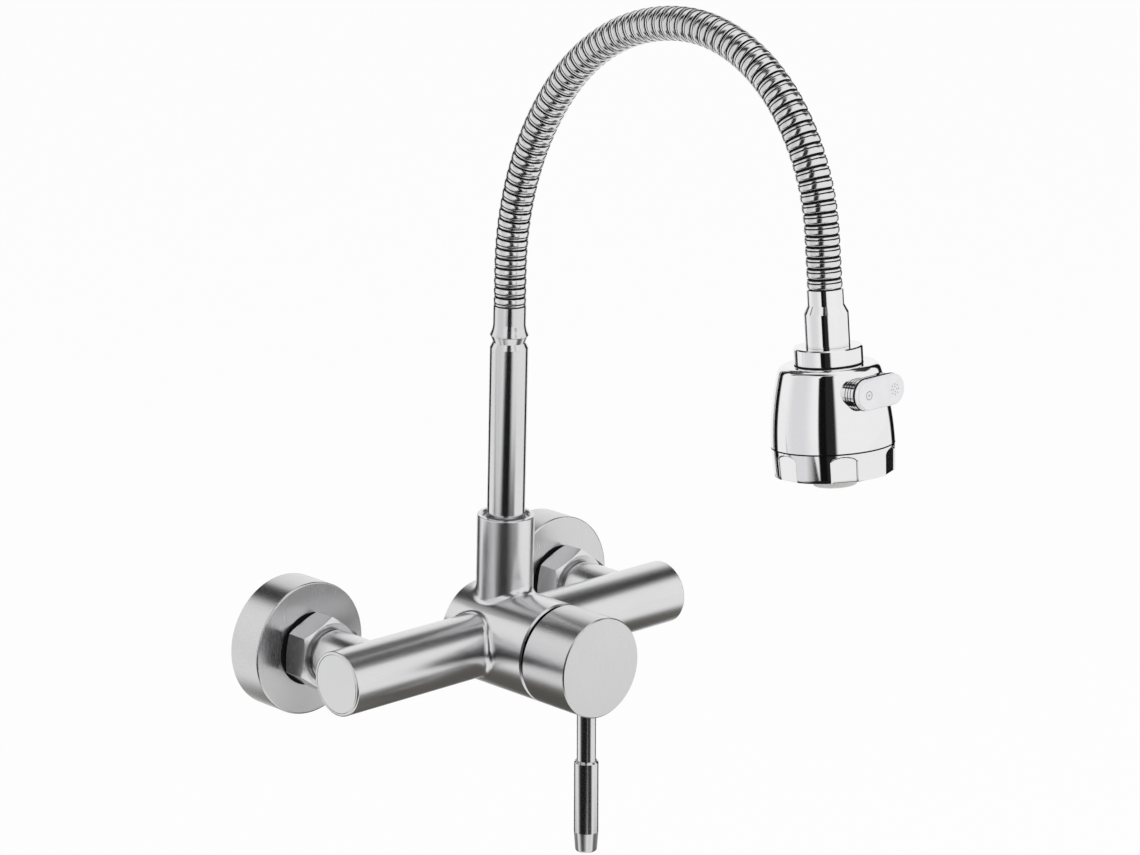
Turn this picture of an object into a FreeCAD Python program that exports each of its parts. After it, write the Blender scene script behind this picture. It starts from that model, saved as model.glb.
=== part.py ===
# Wall mixer with a flexible gooseneck spout and a two-mode spray head.
# Millimetres, +X along the wall, +Y into the wall, +Z up.
# The origin lies on the wall, midway between the two wall pipes.

import FreeCAD
import Part
import Sketcher
import math
import os

Vector = FreeCAD.Vector

# Driving sizes. Lengths in millimetres, turns in degrees.
SIZES = {
    # wall connections
    "inlet_spacing": 150.0,
    "union_offset": 6.0,
    "stud_radius": 10.48,
    "stud_length": 14.0,
    "stud_wall": 3.48,
    "union_thread_radius": 13.05,
    "union_wall": 4.05,
    "union_bend_start": 2.0,
    "union_bend_length": 7.0,
    "cross_bore_step": 1.5,
    "escutcheon_radius": 30.0,
    "escutcheon_depth": 18.0,
    "escutcheon_wall": 1.2,
    "escutcheon_edge": 0.8,
    "washer_thickness": 2.0,
    "washer_step": 0.5,
    "washer_margin": 1.2,
    "nut_standoff": 1.6,
    "nut_wall": 1.9,
    "nut_length": 12.6,
    "nut_grip": 5.4,
    "nut_turn": 23.0,
    "nut_land": 0.3,
    "nut_chamfer_slope": 0.45,
    "tail_flange": 1.8,
    "tail_clearance": 0.2,
    "tail_flange_step": 1.5,
    "tail_shank_length": 5.8,
    "tail_spigot_length": 9.0,
    "tail_wall": 2.6,
    # mixer body
    "neck_length": 29.2,
    "neck_step": 2.2,
    "neck_wall": 2.6,
    "tube_radius": 14.4,
    "tube_overhang": 23.2,
    "tube_wall": 2.5,
    "tube_edge": 0.8,
    "core_margin": 1.5,
    "plug_depth": 3.0,
    "plug_thread": 5.0,
    "plug_rim": 1.3,
    "plug_edge": 0.3,
    "hub_wall": 3.4,
    "hub_back": 4.4,
    "hub_back_edge": 1.0,
    "hub_edge": 0.8,
    "blend_radius": 3.2,
    "blend_share": 0.9,
    "channel_radius": 4.0,
    "seat_wall": 4.2,
    "outlet_radius": 5.0,
    # spout socket
    "spout_setback": 1.3,
    "spout_lean": 1.7,
    "socket_floor_rise": 4.5,
    "socket_wall": 2.6,
    "socket_bevel": 0.7,
    "socket_edge": 0.5,
    "mouth_depth": 2.6,
    # cartridge, built up along the hub's axis and outwards from the stem
    "base_thickness": 4.0,
    "port_radius": 3.0,
    "port_land": 2.6,
    "port_turn": 30.0,
    "port_seal_width": 1.5,
    "port_seal_thickness": 1.6,
    "peg_radius": 1.4,
    "peg_length": 2.5,
    "peg_land": 2.9,
    "peg_clearance": 0.2,
    "disc_thickness": 2.5,
    "disc_clearance": 0.4,
    "slider_thickness": 4.4,
    "slider_room": 2.2,
    "slider_clearance": 0.2,
    "mixing_radius": 6.5,
    "mixing_depth": 0.95,
    "skirt_step": 2.5,
    "skirt_clearance": 0.25,
    "rotor_shoulder": 7.85,
    "rotor_lip": 0.6,
    "roof_thickness": 1.7,
    "mouth_wall": 4.3,
    "shoulder_step": 1.8,
    "cartridge_wall": 2.3,
    "slot_clearance": 0.62,
    "slot_drop": 0.9,
    "slot_rim": 1.1,
    "pivot_rise": 3.05,
    "pivot_pin_radius": 1.5,
    "pivot_pin_inset": 1.2,
    "stem_radius": 3.5,
    "stem_lift": 20.0,
    "stem_shoulder": 0.8,
    "stem_tip": 2.0,
    "stem_tip_radius": 2.6,
    "stem_waist": 1.1,
    "stem_ball": 1.5,
    "stem_ball_arm": 4.2,
    "ball_facet": 0.82,
    "ball_gap": 0.3,
    "cartridge_nut_length": 5.0,
    "thread_step": 1.8,
    "nose_step": 1.9,
    "nose_length": 3.2,
    "nose_lip": 0.8,
    "spanner_slots": 6.0,
    "spanner_slot_width": 3.0,
    "spanner_slot_depth": 1.6,
    # handle
    "cap_length": 27.0,
    "cap_gap": 0.5,
    "cap_rim_turn": 2.67,
    "cap_wall": 1.5,
    "cap_plate": 3.5,
    "cap_edge": 0.5,
    "cap_boss_wall": 4.0,
    "cap_boss_length": 13.0,
    "stem_cover": 7.5,
    "lever_inset": 9.1,
    "lever_boss_wall": 2.0,
    "lever_recess": 0.8,
    "rod_radius": 4.3,
    "rod_shoulder": 1.4,
    "rod_length": 22.1,
    "rod_spigot_length": 11.0,
    "grip_step": 1.2,
    "grip_length": 42.0,
    "grip_shoulder": 0.7,
    "grip_taper": 9.0,
    "grip_tip_step": 0.65,
    "grip_round": 0.8,
    # riser
    "riser_wall": 1.9,
    "riser_rise": 76.4,
    "riser_chamfer": 2.5,
    "riser_chamfer_width": 1.25,
    "bush_wall": 1.55,
    "bush_length": 10.6,
    "stop_height": 2.6,
    "stop_clearance": 0.4,
    "clip_thickness": 1.2,
    "clip_groove": 0.9,
    "clip_opening": 6.0,
    "ring_groove": 1.2,
    "ring_height": 2.4,
    "ring_pitch": 5.0,
    "ring_standoff": 4.0,
    "ring_margin": 2.75,
    "ferrule_length": 16.3,
    "ferrule_wall": 1.5,
    "ferrule_spigot": 9.0,
    "ferrule_cone": 2.9,
    "ferrule_bulge": 1.15,
    "ferrule_lip": 0.8,
    "ferrule_lip_round": 0.6,
    "ferrule_taper": 4.9,
    "ferrule_taper_sweep": 10.2,
    # gooseneck
    "inner_hose_bore": 3.8,
    "inner_hose_wall": 1.2,
    "hose_room": 0.6,
    "hose_wall": 0.85,
    "rib_depth": 0.8,
    "rib_count": 76.0,
    "lead_length": 16.0,
    "bend_one_radius": 137.0,
    "bend_one_turn": 39.4,
    "bend_two_radius": 100.0,
    "bend_two_turn": 47.0,
    "bend_three_radius": 73.0,
    "bend_three_turn": 53.0,
    "bend_four_radius": 90.0,
    "bend_four_turn": 33.3,
    "tail_length": 22.0,
    "hose_overlap": 8.5,
    # spray head, built up along its own axis from the end of the hose
    "fitting_step": 0.2,
    "fitting_length": 6.2,
    "fitting_flare": 3.2,
    "sleeve_step": 1.65,
    "sleeve_length": 13.6,
    "swivel_wall": 2.2,
    "swivel_stem_step": 0.8,
    "swivel_flange_step": 2.0,
    "swivel_flange": 1.8,
    "swivel_spigot_length": 6.0,
    "swivel_ring_start": 1.8,
    "spigot_clearance": 0.4,
    "collar_length": 7.05,
    "collar_wall": 2.5,
    "collar_roof": 2.4,
    "collar_edge": 0.5,
    "shell_neck_wall": 2.4,
    "shell_neck_clearance": 0.2,
    "shoulder_flat": 3.95,
    "shoulder_width": 2.8,
    "shoulder_drop": 2.4,
    "shoulder_sweep": 3.4,
    "shell_flare": 4.35,
    "shell_length": 30.2,
    "shell_sweep": 120.0,
    "shell_wall": 2.0,
    "shell_roof": 3.2,
    "shell_lip": 1.0,
    "ring_length": 12.0,
    "ring_taper": 0.65,
    "ring_wall": 4.3,
    "ring_floor": 2.2,
    "ring_edge": 0.5,
    "ring_upstand": 5.0,
    "ring_flats": 6.0,
    "ring_flat_turn": 130.3,
    "ring_flat_depth": 0.55,
    "ring_flat_tilt": 3.1,
    "ring_flat_top": 1.4,
    "ring_flat_sweep": 7.25,
    "aerator_radius": 8.9,
    "aerator_wall": 1.3,
    "aerator_lip": 0.8,
    "aerator_edge": 0.4,
    "aerator_length": 18.9,
    "aerator_proud": 5.2,
    "mesh_thickness": 0.8,
    "mesh_depth": 3.0,
    "mesh_slots": 5.0,
    "mesh_slot": 1.3,
    "mesh_pitch": 2.2,
    "mesh_margin": 1.2,
    "nozzle_count": 16.0,
    "nozzle_radius": 1.1,
    "nozzle_height": 1.4,
    "nozzle_plate": 2.0,
    "face_seal_thickness": 1.2,
    "face_seal_gap": 0.2,
    # diverter
    "plate_drop": 7.1,
    "plate_length": 27.0,
    "plate_height": 12.5,
    "plate_proud": 7.6,
    "plate_thickness": 2.6,
    "plate_edge": 0.6,
    "plate_gap": 1.1,
    "plate_inset": 0.3,
    "rocker_pin_radius": 1.0,
    "rocker_pin_length": 10.0,
    "rocker_pin_drop": 3.4,
    "rocker_arm": 8.5,
    "rocker_lug_width": 4.4,
    "rocker_lug_height": 5.6,
    "rocker_lug_wall": 1.4,
    "rocker_tail_width": 2.4,
    "rocker_slot": 0.5,
    "rocker_notch_room": 0.25,
    "spool_drop": 2.9,
    "spool_radius": 3.95,
    "spool_length": 22.0,
    "spool_groove": 1.5,
    "spool_seal_spread": 5.5,
    "spool_seal_width": 1.6,
    "spool_seal_depth": 1.0,
    "block_margin": 2.3,
    "block_end_gap": 0.75,
    "outlet_wall": 1.3,
    "chamber_depth": 4.0,
    "way_radius": 2.0,
    "aerator_way_side": 4.5,
    "aerator_way_drop": 5.0,
    "spray_way_side": 7.5,
    # gaps between neighbours, and how far a cut runs past the face that it opens
    "seat_gap": 0.05,
    "running_gap": 0.1,
    "seal_gap": 0.15,
    "free_gap": 0.3,
    "overrun": 1.0,
}


class Size:
    """A sheet value, or a sum of them, with the text that binds it."""

    def __init__(self, text, value):
        self.text = text
        self.value = float(value)

    def _join(self, other, sign, value, swap=False):
        other = as_size(other)
        first, second = (other, self) if swap else (self, other)
        return Size(f"({first.text} {sign} {second.text})", value(first.value, second.value))

    def __add__(self, other):
        return self._join(other, "+", lambda a, b: a + b)

    def __radd__(self, other):
        return self._join(other, "+", lambda a, b: a + b, swap=True)

    def __sub__(self, other):
        return self._join(other, "-", lambda a, b: a - b)

    def __rsub__(self, other):
        return self._join(other, "-", lambda a, b: a - b, swap=True)

    def __mul__(self, other):
        return self._join(other, "*", lambda a, b: a * b)

    def __rmul__(self, other):
        return self._join(other, "*", lambda a, b: a * b, swap=True)

    def __truediv__(self, other):
        return self._join(other, "/", lambda a, b: a / b)

    def __neg__(self):
        return Size(f"(-1 * {self.text})", -self.value)


def as_size(number):
    return number if isinstance(number, Size) else Size(repr(float(number)), number)


def sine(turn):
    turn = as_size(turn)
    return Size(f"sin({turn.text})", math.sin(math.radians(turn.value)))


def cosine(turn):
    turn = as_size(turn)
    return Size(f"cos({turn.text})", math.cos(math.radians(turn.value)))


def tangent(turn):
    return sine(turn) / cosine(turn)


def half_chord(radius, offset):
    """Half the width of a circle at a distance from its centre."""
    square = radius * radius - offset * offset
    return Size(f"sqrt({square.text})", math.sqrt(square.value))


def smaller(first, second):
    return Size(f"min({first.text}; {second.text})", min(first.value, second.value))


class Sheet:
    """The spreadsheet, with each alias as an attribute."""

    def __init__(self, document, sizes):
        cells = document.addObject("Spreadsheet::Sheet", "Sizes")
        for row, (name, value) in enumerate(sizes.items(), start=1):
            cells.set(f"A{row}", name)
            cells.set(f"B{row}", str(value))
            cells.setAlias(f"B{row}", name)
            setattr(self, name, Size(f"Sizes.{name}", value))


doc = FreeCAD.newDocument("wall_mixer")
d = Sheet(doc, SIZES)
doc.recompute()


# Radii and places that follow from the sizes. Places along the hub are distances from the wall.
UNION_BORE = d.union_thread_radius - d.union_wall
STUD_BORE = d.stud_radius - d.stud_wall
BEND_END = d.union_bend_start + d.union_bend_length
UNION_END = d.escutcheon_depth + d.nut_standoff + d.nut_grip
SEAL_END = UNION_END + d.washer_thickness
TAIL_FACE = SEAL_END + d.tail_flange
NUT_START = UNION_END - d.nut_grip
NUT_BORE = d.union_thread_radius + d.seat_gap
NUT_FLAT = NUT_BORE + d.nut_wall
TAIL_FLANGE = NUT_BORE - d.tail_clearance
TAIL_SHANK = TAIL_FLANGE - d.tail_flange_step
NECK_RADIUS = d.tube_radius - d.neck_step
TAIL_SPIGOT = NECK_RADIUS - d.neck_wall
TAIL_BORE = TAIL_SPIGOT - d.tail_wall
NECK_START = TAIL_FACE + d.tail_shank_length
TUBE_STANDOFF = NECK_START + d.neck_length
HALF_TUBE = d.inlet_spacing / 2 + d.tube_overhang

CARTRIDGE_SEAT = TUBE_STANDOFF + d.channel_radius + d.seat_wall
BASE_TOP = CARTRIDGE_SEAT + d.base_thickness
DISC_TOP = BASE_TOP + d.disc_thickness
SLIDER_LOW = DISC_TOP + d.seat_gap
SLIDER_TOP = SLIDER_LOW + d.slider_thickness
ROTOR_LOW = SLIDER_TOP + d.slider_clearance
ROTOR_STEP = ROTOR_LOW + d.rotor_shoulder
CARTRIDGE_ROOF = ROTOR_STEP + d.free_gap
CARTRIDGE_SHOULDER = CARTRIDGE_ROOF + d.roof_thickness
HUB_FRONT = CARTRIDGE_SHOULDER + d.cartridge_nut_length
CARTRIDGE_NUT_FRONT = HUB_FRONT + d.nose_length
CARTRIDGE_FRONT = CARTRIDGE_NUT_FRONT - d.nose_lip
ROTOR_FRONT = CARTRIDGE_FRONT + d.rotor_lip
PIVOT = SLIDER_TOP + d.pivot_rise
BALL = PIVOT - d.stem_ball_arm
HUB_REAR = TUBE_STANDOFF - d.tube_radius - d.hub_back

STEM_SWING = (ROTOR_FRONT - PIVOT) * tangent(d.stem_lift) + d.stem_radius / cosine(d.stem_lift)
SLOT_TOP = STEM_SWING + d.slot_clearance
SLOT_BOTTOM = d.stem_radius + d.slot_drop
SLOT_HALF = d.stem_radius + d.slider_clearance
ROTOR_NECK = SLOT_TOP + d.slot_rim
CARTRIDGE_MOUTH = ROTOR_NECK + d.free_gap
CARTRIDGE_NECK = CARTRIDGE_MOUTH + d.mouth_wall
CARTRIDGE_RADIUS = CARTRIDGE_NECK + d.shoulder_step
CARTRIDGE_BORE = CARTRIDGE_RADIUS - d.cartridge_wall
DISC_RADIUS = CARTRIDGE_BORE - d.disc_clearance
ROTOR_RADIUS = CARTRIDGE_BORE - d.free_gap
ROTOR_SKIRT = ROTOR_RADIUS - d.skirt_step
SLIDER_RADIUS = ROTOR_SKIRT - d.slider_room
PORT_SPREAD = DISC_RADIUS - d.port_radius - d.port_land
PEG_SPREAD = CARTRIDGE_RADIUS - d.peg_radius - d.peg_land
CARTRIDGE_NUT_RADIUS = CARTRIDGE_RADIUS + d.thread_step
NOSE_RADIUS = CARTRIDGE_NUT_RADIUS - d.nose_step
HUB_RADIUS = CARTRIDGE_NUT_RADIUS + d.hub_wall
TUBE_CORE = HUB_RADIUS + d.core_margin

CAP_INNER = HUB_RADIUS - d.cap_wall
CAP_RIM = HUB_FRONT + d.cap_gap
CAP_FRONT = CAP_RIM + d.cap_length
CAP_FLOOR = CAP_FRONT - d.cap_plate
STEM_END = CAP_FRONT - d.stem_cover
LEVER_STANDOFF = CAP_FRONT - d.lever_inset
ROD_THREAD = d.rod_radius - d.rod_shoulder
ROD_END = HUB_RADIUS + d.rod_length
ROD_TIP = ROD_END + d.rod_spigot_length
GRIP_RADIUS = d.rod_radius + d.grip_step
GRIP_TIP = GRIP_RADIUS - d.grip_tip_step
GRIP_END = ROD_END + d.grip_length

INNER_HOSE = d.inner_hose_bore + d.inner_hose_wall
HOSE_BORE = INNER_HOSE + d.hose_room
VALLEY_RADIUS = HOSE_BORE + d.hose_wall
RIB_RADIUS = VALLEY_RADIUS + d.rib_depth
RISER_BORE = INNER_HOSE + d.ferrule_wall + 2 * d.seat_gap
RISER_RADIUS = RISER_BORE + d.riser_wall
SOCKET_BORE = RISER_RADIUS + d.running_gap + d.bush_wall + d.seat_gap
SOCKET_RADIUS = SOCKET_BORE + d.socket_wall
BLEND_ROOM = half_chord(HUB_RADIUS, d.tube_radius) - SOCKET_RADIUS
BLEND_RADIUS = smaller(d.blend_radius, d.blend_share * BLEND_ROOM)
CLIP_SEAT = SOCKET_BORE + d.clip_groove
RING_ROOT = RISER_RADIUS - d.ring_groove
SPOUT_STANDOFF = TUBE_STANDOFF - d.spout_setback

# Heights above the body's axis, along the spout.
SOCKET_FLOOR = HUB_RADIUS + d.socket_floor_rise
FIRST_RING = SOCKET_FLOOR + d.ring_standoff
STOP_LOW = FIRST_RING + d.ring_pitch + d.ring_height + d.ring_margin
STOP_TOP = STOP_LOW + d.stop_height
BUSH_START = STOP_TOP + d.seat_gap
BUSH_END = BUSH_START + d.bush_length
SOCKET_TOP = BUSH_END + d.mouth_depth
RISER_TOP = SOCKET_TOP + d.riser_rise
RISER_FACE = RISER_TOP + d.riser_chamfer
FERRULE_TOP = RISER_FACE + d.ferrule_length

# Places down the spray head, from the end of the hose.
FITTING_RADIUS = RIB_RADIUS + d.fitting_step
SLEEVE_RADIUS = FITTING_RADIUS + d.sleeve_step
SLEEVE_START = d.fitting_length + d.fitting_flare
SLEEVE_END = SLEEVE_START + d.sleeve_length
COLLAR_START = SLEEVE_END + d.seat_gap
COLLAR_INNER = COLLAR_START + d.collar_roof
COLLAR_END = COLLAR_START + d.collar_length
FLANGE_TOP = COLLAR_INNER + d.running_gap
FLANGE_LOW = FLANGE_TOP + d.swivel_flange
BLOCK_TOP = FLANGE_LOW + d.running_gap
SWIVEL_SPIGOT = d.inner_hose_bore + d.swivel_wall
SWIVEL_STEM = SWIVEL_SPIGOT + d.swivel_stem_step
SWIVEL_FLANGE = SWIVEL_STEM + d.swivel_flange_step
SWIVEL_ROOT = SWIVEL_SPIGOT - d.ring_groove
SPIGOT_END = FLANGE_LOW + d.swivel_spigot_length
SHELL_BORE = SWIVEL_FLANGE + d.free_gap
SHELL_NECK = SHELL_BORE + d.shell_neck_wall
COLLAR_THREAD = SHELL_NECK + d.seat_gap
COLLAR_RADIUS = COLLAR_THREAD + d.collar_wall
SHELL_TOP = COLLAR_END + d.seat_gap
SHELL_ROOF = SHELL_TOP + d.shell_roof
SHOULDER_FLAT = COLLAR_RADIUS + d.shoulder_flat
SHOULDER_RADIUS = SHOULDER_FLAT + d.shoulder_width
SHOULDER = COLLAR_END + d.shoulder_drop
SHELL_END = SHOULDER + d.shell_length
SHELL_RADIUS = SHOULDER_RADIUS + d.shell_flare
SHELL_INNER = SHELL_RADIUS - d.shell_wall
RING_START = SHELL_END + d.seat_gap
RING_TOP = RING_START - d.ring_upstand
RING_END = SHELL_END + d.ring_length
RING_FLOOR = RING_END - d.ring_floor
RING_RADIUS = SHELL_RADIUS - d.ring_taper
RING_BORE = SHELL_RADIUS - d.ring_wall
RING_HOLE = d.aerator_radius + d.free_gap
NOZZLE_RIM = RING_BORE - 2 * d.seat_gap
NOZZLE_TOP = RING_FLOOR - d.nozzle_plate - d.seat_gap
NOZZLE_CIRCLE = (RING_HOLE + NOZZLE_RIM) / 2
FACE_SEAL_END = NOZZLE_TOP - d.face_seal_gap
OUTLET_END = FACE_SEAL_END - d.face_seal_thickness - d.seat_gap
AERATOR_BORE = d.aerator_radius - d.aerator_wall
AERATOR_END = RING_END + d.aerator_proud
AERATOR_START = AERATOR_END - d.aerator_length
MESH_FACE = AERATOR_END - d.mesh_depth
MESH_BACK = MESH_FACE - d.mesh_thickness

# The diverter's pieces, as distances in front of the head's axis.
PLATE_CENTRE = SHOULDER + d.plate_drop
PLATE_FRONT = SHOULDER_RADIUS + d.plate_proud
PLATE_REAR = PLATE_FRONT - d.plate_thickness
BOSS_FACE = PLATE_REAR - d.plate_gap
ROCKER_PIN = PLATE_REAR - d.rocker_pin_drop
LUG_LOW = ROCKER_PIN - d.rocker_pin_radius - d.rocker_lug_wall
TAIL_TIP = ROCKER_PIN - d.rocker_arm
SPOOL_STANDOFF = TAIL_TIP - d.spool_drop
ROCKER_OPENING = d.rocker_lug_width + 2 * d.rocker_slot
ROCKER_TALL = d.rocker_lug_height + 2 * d.free_gap
BLOCK_RADIUS = SHOULDER_RADIUS - d.shell_wall - d.block_margin
BLOCK_END = RING_TOP - d.block_end_gap
CHAMBER_TOP = BLOCK_END - d.chamber_depth
OUTLET_RADIUS = d.aerator_radius + d.seat_gap + d.outlet_wall

parts = []


# Frames: a place, and a turn about X that carries the local Z axis to the piece's own axis.
class Frame:
    def __init__(self, place, turn):
        self.place = [as_size(value) for value in place]
        self.turn = as_size(turn)


def heading_step(forward, height, heading, radius, turn):
    """The end of an arc that starts at a place with a heading from the vertical."""
    after = heading + turn
    return (
        forward + radius * (cosine(heading) - cosine(after)),
        height + radius * (sine(after) - sine(heading)),
        after,
    )


BENDS = [
    (d.bend_one_radius, d.bend_one_turn),
    (d.bend_two_radius, d.bend_two_turn),
    (d.bend_three_radius, d.bend_three_turn),
    (d.bend_four_radius, d.bend_four_turn),
]


def neck_end():
    """Forward reach, height and heading at the gooseneck's end, in the spout's frame."""
    forward = as_size(0)
    height = FERRULE_TOP + d.lead_length
    heading = as_size(0)
    for radius, turn in BENDS:
        forward, height, heading = heading_step(forward, height, heading, radius, turn)
    return (
        forward + d.tail_length * sine(heading),
        height + d.tail_length * cosine(heading),
        heading,
    )


def spout_place(forward, height):
    """A point of the spout's own plane, in the object's frame."""
    return (
        as_size(0),
        -1 * (SPOUT_STANDOFF + forward * cosine(d.spout_lean) + height * sine(d.spout_lean)),
        d.union_offset + height * cosine(d.spout_lean) - forward * sine(d.spout_lean),
    )


NECK_REACH, NECK_HEIGHT, NECK_TURN = neck_end()
AXIS = d.union_offset
WALL = Frame((0, 0, AXIS), 90)
LEVER = Frame((0, -LEVER_STANDOFF, AXIS), 180)
SPOUT = Frame(spout_place(as_size(0), as_size(0)), d.spout_lean)
HEAD = Frame(spout_place(NECK_REACH, NECK_HEIGHT), d.spout_lean + NECK_TURN)


def bind(item, name, size):
    """Set a property and tie it to the sheet."""
    size = as_size(size)
    setattr(item, name, size.value)
    if "Sizes." in size.text:
        item.setExpression(name, size.text)


def bind_place(item, place, axis=None, turn=0):
    """Set a placement and tie what comes from the sheet."""
    place = [as_size(value) for value in place]
    turn = as_size(turn)
    spin = FreeCAD.Rotation(axis or Vector(1, 0, 0), turn.value)
    item.Placement = FreeCAD.Placement(Vector(*[value.value for value in place]), spin)
    for letter, value in zip("xyz", place):
        if "Sizes." in value.text:
            item.setExpression(f".Placement.Base.{letter}", value.text)
    if "Sizes." in turn.text:
        item.setExpression(".Placement.Rotation.Angle", turn.text)


def in_frame(item, frame, shift_x=0):
    """Put a finished sub-part in its frame."""
    place = [frame.place[0] + shift_x, frame.place[1], frame.place[2]]
    bind_place(item, place, Vector(1, 0, 0), frame.turn)
    parts.append(item)
    return item


def new_body(name):
    body = doc.addObject("PartDesign::Body", name)
    body.Label = name
    return body


def plane_of(body, role):
    return [item for item in body.Origin.OriginFeatures if item.Role == role][0]


def sketch_on(body, name, role):
    sketch = body.newObject("Sketcher::SketchObject", name)
    sketch.AttachmentSupport = [(plane_of(body, role), "")]
    sketch.MapMode = "FlatFace"
    return sketch


def draw_outline(sketch, corners):
    """A closed outline with each corner tied to its two sizes. A third size on a corner is the
    radius of an arc that leads to it, bulging to the left of its way, or to the right if negative."""
    corners = [[as_size(value) for value in corner] for corner in corners]
    points = [Vector(corner[0].value, corner[1].value, 0) for corner in corners]
    count = len(points)
    ends = []
    for index, start in enumerate(points):
        follower = corners[(index + 1) % count]
        end = points[(index + 1) % count]
        if len(follower) == 3:
            line = arc_between(start, end, follower[2].value)
        else:
            line = Part.LineSegment(start, end)
        sketch.addGeometry(line, False)
        clockwise = len(follower) == 3 and follower[2].value > 0
        ends.append((2, 1) if clockwise else (1, 2))
    for index in range(count):
        follower = (index + 1) % count
        tip, tail = ends[index][1], ends[follower][0]
        sketch.addConstraint(Sketcher.Constraint("Coincident", index, tip, follower, tail))
    for index, corner in enumerate(corners):
        for kind, size in (("DistanceX", corner[0]), ("DistanceY", corner[1])):
            tie(sketch, Sketcher.Constraint(kind, -1, 1, index, ends[index][0], size.value), size)
        if len(corner) == 3:
            size = corner[2] if corner[2].value > 0 else -corner[2]
            arc = (index - 1) % count
            tie(sketch, Sketcher.Constraint("Radius", arc, size.value), size)


def tie(sketch, constraint, size):
    """Add a constraint and let the sheet drive it."""
    number = sketch.addConstraint(constraint)
    if "Sizes." in size.text:
        sketch.setExpression(f"Constraints[{number}]", size.text)


def arc_between(start, end, radius):
    """An arc of a given radius that bulges to one side of its chord."""
    chord = end - start
    side = Vector(-chord.y, chord.x, 0)
    side.normalize()
    rise = abs(radius) - math.sqrt(radius**2 - (chord.Length / 2) ** 2)
    through = (start + end) / 2 + side * math.copysign(rise, radius)
    return Part.Arc(start, through, end)


def lathe(name, corners):
    """A turned piece about its own Z axis: corners are (radius, height)."""
    body = new_body(name)
    sketch = sketch_on(body, f"{name}_outline", "XZ_Plane")
    draw_outline(sketch, corners)
    turned = body.newObject("PartDesign::Revolution", f"{name}_turned")
    turned.Profile = sketch
    turned.ReferenceAxis = (sketch, ["V_Axis"])
    turned.Angle = 360
    body.Tip = turned
    return body


def primitive(body, kind, name, place, axis=None, turn=0, **sizes):
    """An additive or subtractive primitive of a body."""
    item = body.newObject(f"PartDesign::{kind}", name)
    for key, value in sizes.items():
        bind(item, key, value)
    bind_place(item, place, axis, turn)
    body.Tip = item
    return item


ALONG_X = (Vector(0, 1, 0), 90)
ALONG_Y = (Vector(1, 0, 0), -90)
ALONG_Z = (Vector(0, 0, 1), 0)


def rod(body, name, place, radius, length, along=ALONG_Z):
    return primitive(body, "AdditiveCylinder", name, place, *along, Radius=radius, Height=length)


def drill(body, name, place, radius, length, along=ALONG_Z):
    return primitive(body, "SubtractiveCylinder", name, place, *along, Radius=radius, Height=length)


def block(body, name, kind, low, size, axis=None, turn=0):
    return primitive(
        body, kind, name, low, axis, turn, Length=size[0], Width=size[1], Height=size[2]
    )


def around(body, name, features, count, role="Z_Axis"):
    """Repeat features round the body's own axis."""
    pattern = body.newObject("PartDesign::PolarPattern", name)
    pattern.Originals = features
    pattern.Axis = (plane_of(body, role), [""])
    pattern.Angle = 360
    pattern.Occurrences = int(count.value)
    pattern.setExpression("Occurrences", count.text)
    body.Tip = pattern
    return pattern


def round_edges(body, name, radius, chosen):
    """A fillet on the edges of the body so far that a test picks."""
    doc.recompute()
    base = body.Tip
    edges = [f"Edge{i}" for i, edge in enumerate(base.Shape.Edges, start=1) if chosen(edge)]
    if not edges:
        raise ValueError(f"no edges to round on {body.Label}")
    fillet = body.newObject("PartDesign::Fillet", name)
    fillet.Base = (base, edges)
    bind(fillet, "Radius", radius)
    body.Tip = fillet
    return fillet


def ring_group(name, frame, places, outer, inner, thickness, along=ALONG_Z):
    """Flat rings of one size, kept together."""
    rings = []
    for number, place in enumerate(places, start=1):
        solids = []
        for word, radius in (("outer", outer), ("inner", inner)):
            solid = doc.addObject("Part::Cylinder", f"{name}_{word}_{number}")
            bind(solid, "Radius", radius)
            bind(solid, "Height", thickness)
            bind_place(solid, place, *along)
            solids.append(solid)
        ring = doc.addObject("Part::Cut", f"{name}_ring_{number}")
        ring.Base, ring.Tool = solids
        rings.append(ring)
    group = doc.addObject("Part::Compound", name)
    group.Label = name
    group.Links = rings
    return in_frame(group, frame)


def groove(body, name, corners):
    """Turn a cut about the body's own axis: corners are (radius, height)."""
    sketch = sketch_on(body, f"{name}_outline", "XZ_Plane")
    draw_outline(sketch, corners)
    cut = body.newObject("PartDesign::Groove", name)
    cut.Profile = sketch
    cut.ReferenceAxis = (sketch, ["V_Axis"])
    cut.Angle = 360
    body.Tip = cut
    return cut


def tube(name, inner, outer, low, high):
    """A plain turned ring or pipe."""
    return lathe(name, [(inner, low), (outer, low), (outer, high), (inner, high)])


# Wall connections, one set at each end.
def bend_ring(union, name, height, drop, radius):
    """A circle across the union, the end of its bend."""
    sketch = sketch_on(union, name, "XY_Plane")
    sketch.AttachmentOffset = FreeCAD.Placement(Vector(0, 0, height.value), FreeCAD.Rotation())
    sketch.setExpression(".AttachmentOffset.Base.z", height.text)
    ring = Part.Circle(Vector(0, drop.value, 0), Vector(0, 0, 1), radius.value)
    sketch.addGeometry(ring, False)
    tie(sketch, Sketcher.Constraint("DistanceX", -1, 1, 0, 3, 0), as_size(0))
    tie(sketch, Sketcher.Constraint("DistanceY", -1, 1, 0, 3, drop.value), drop)
    tie(sketch, Sketcher.Constraint("Radius", 0, radius.value), radius)
    return sketch


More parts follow.
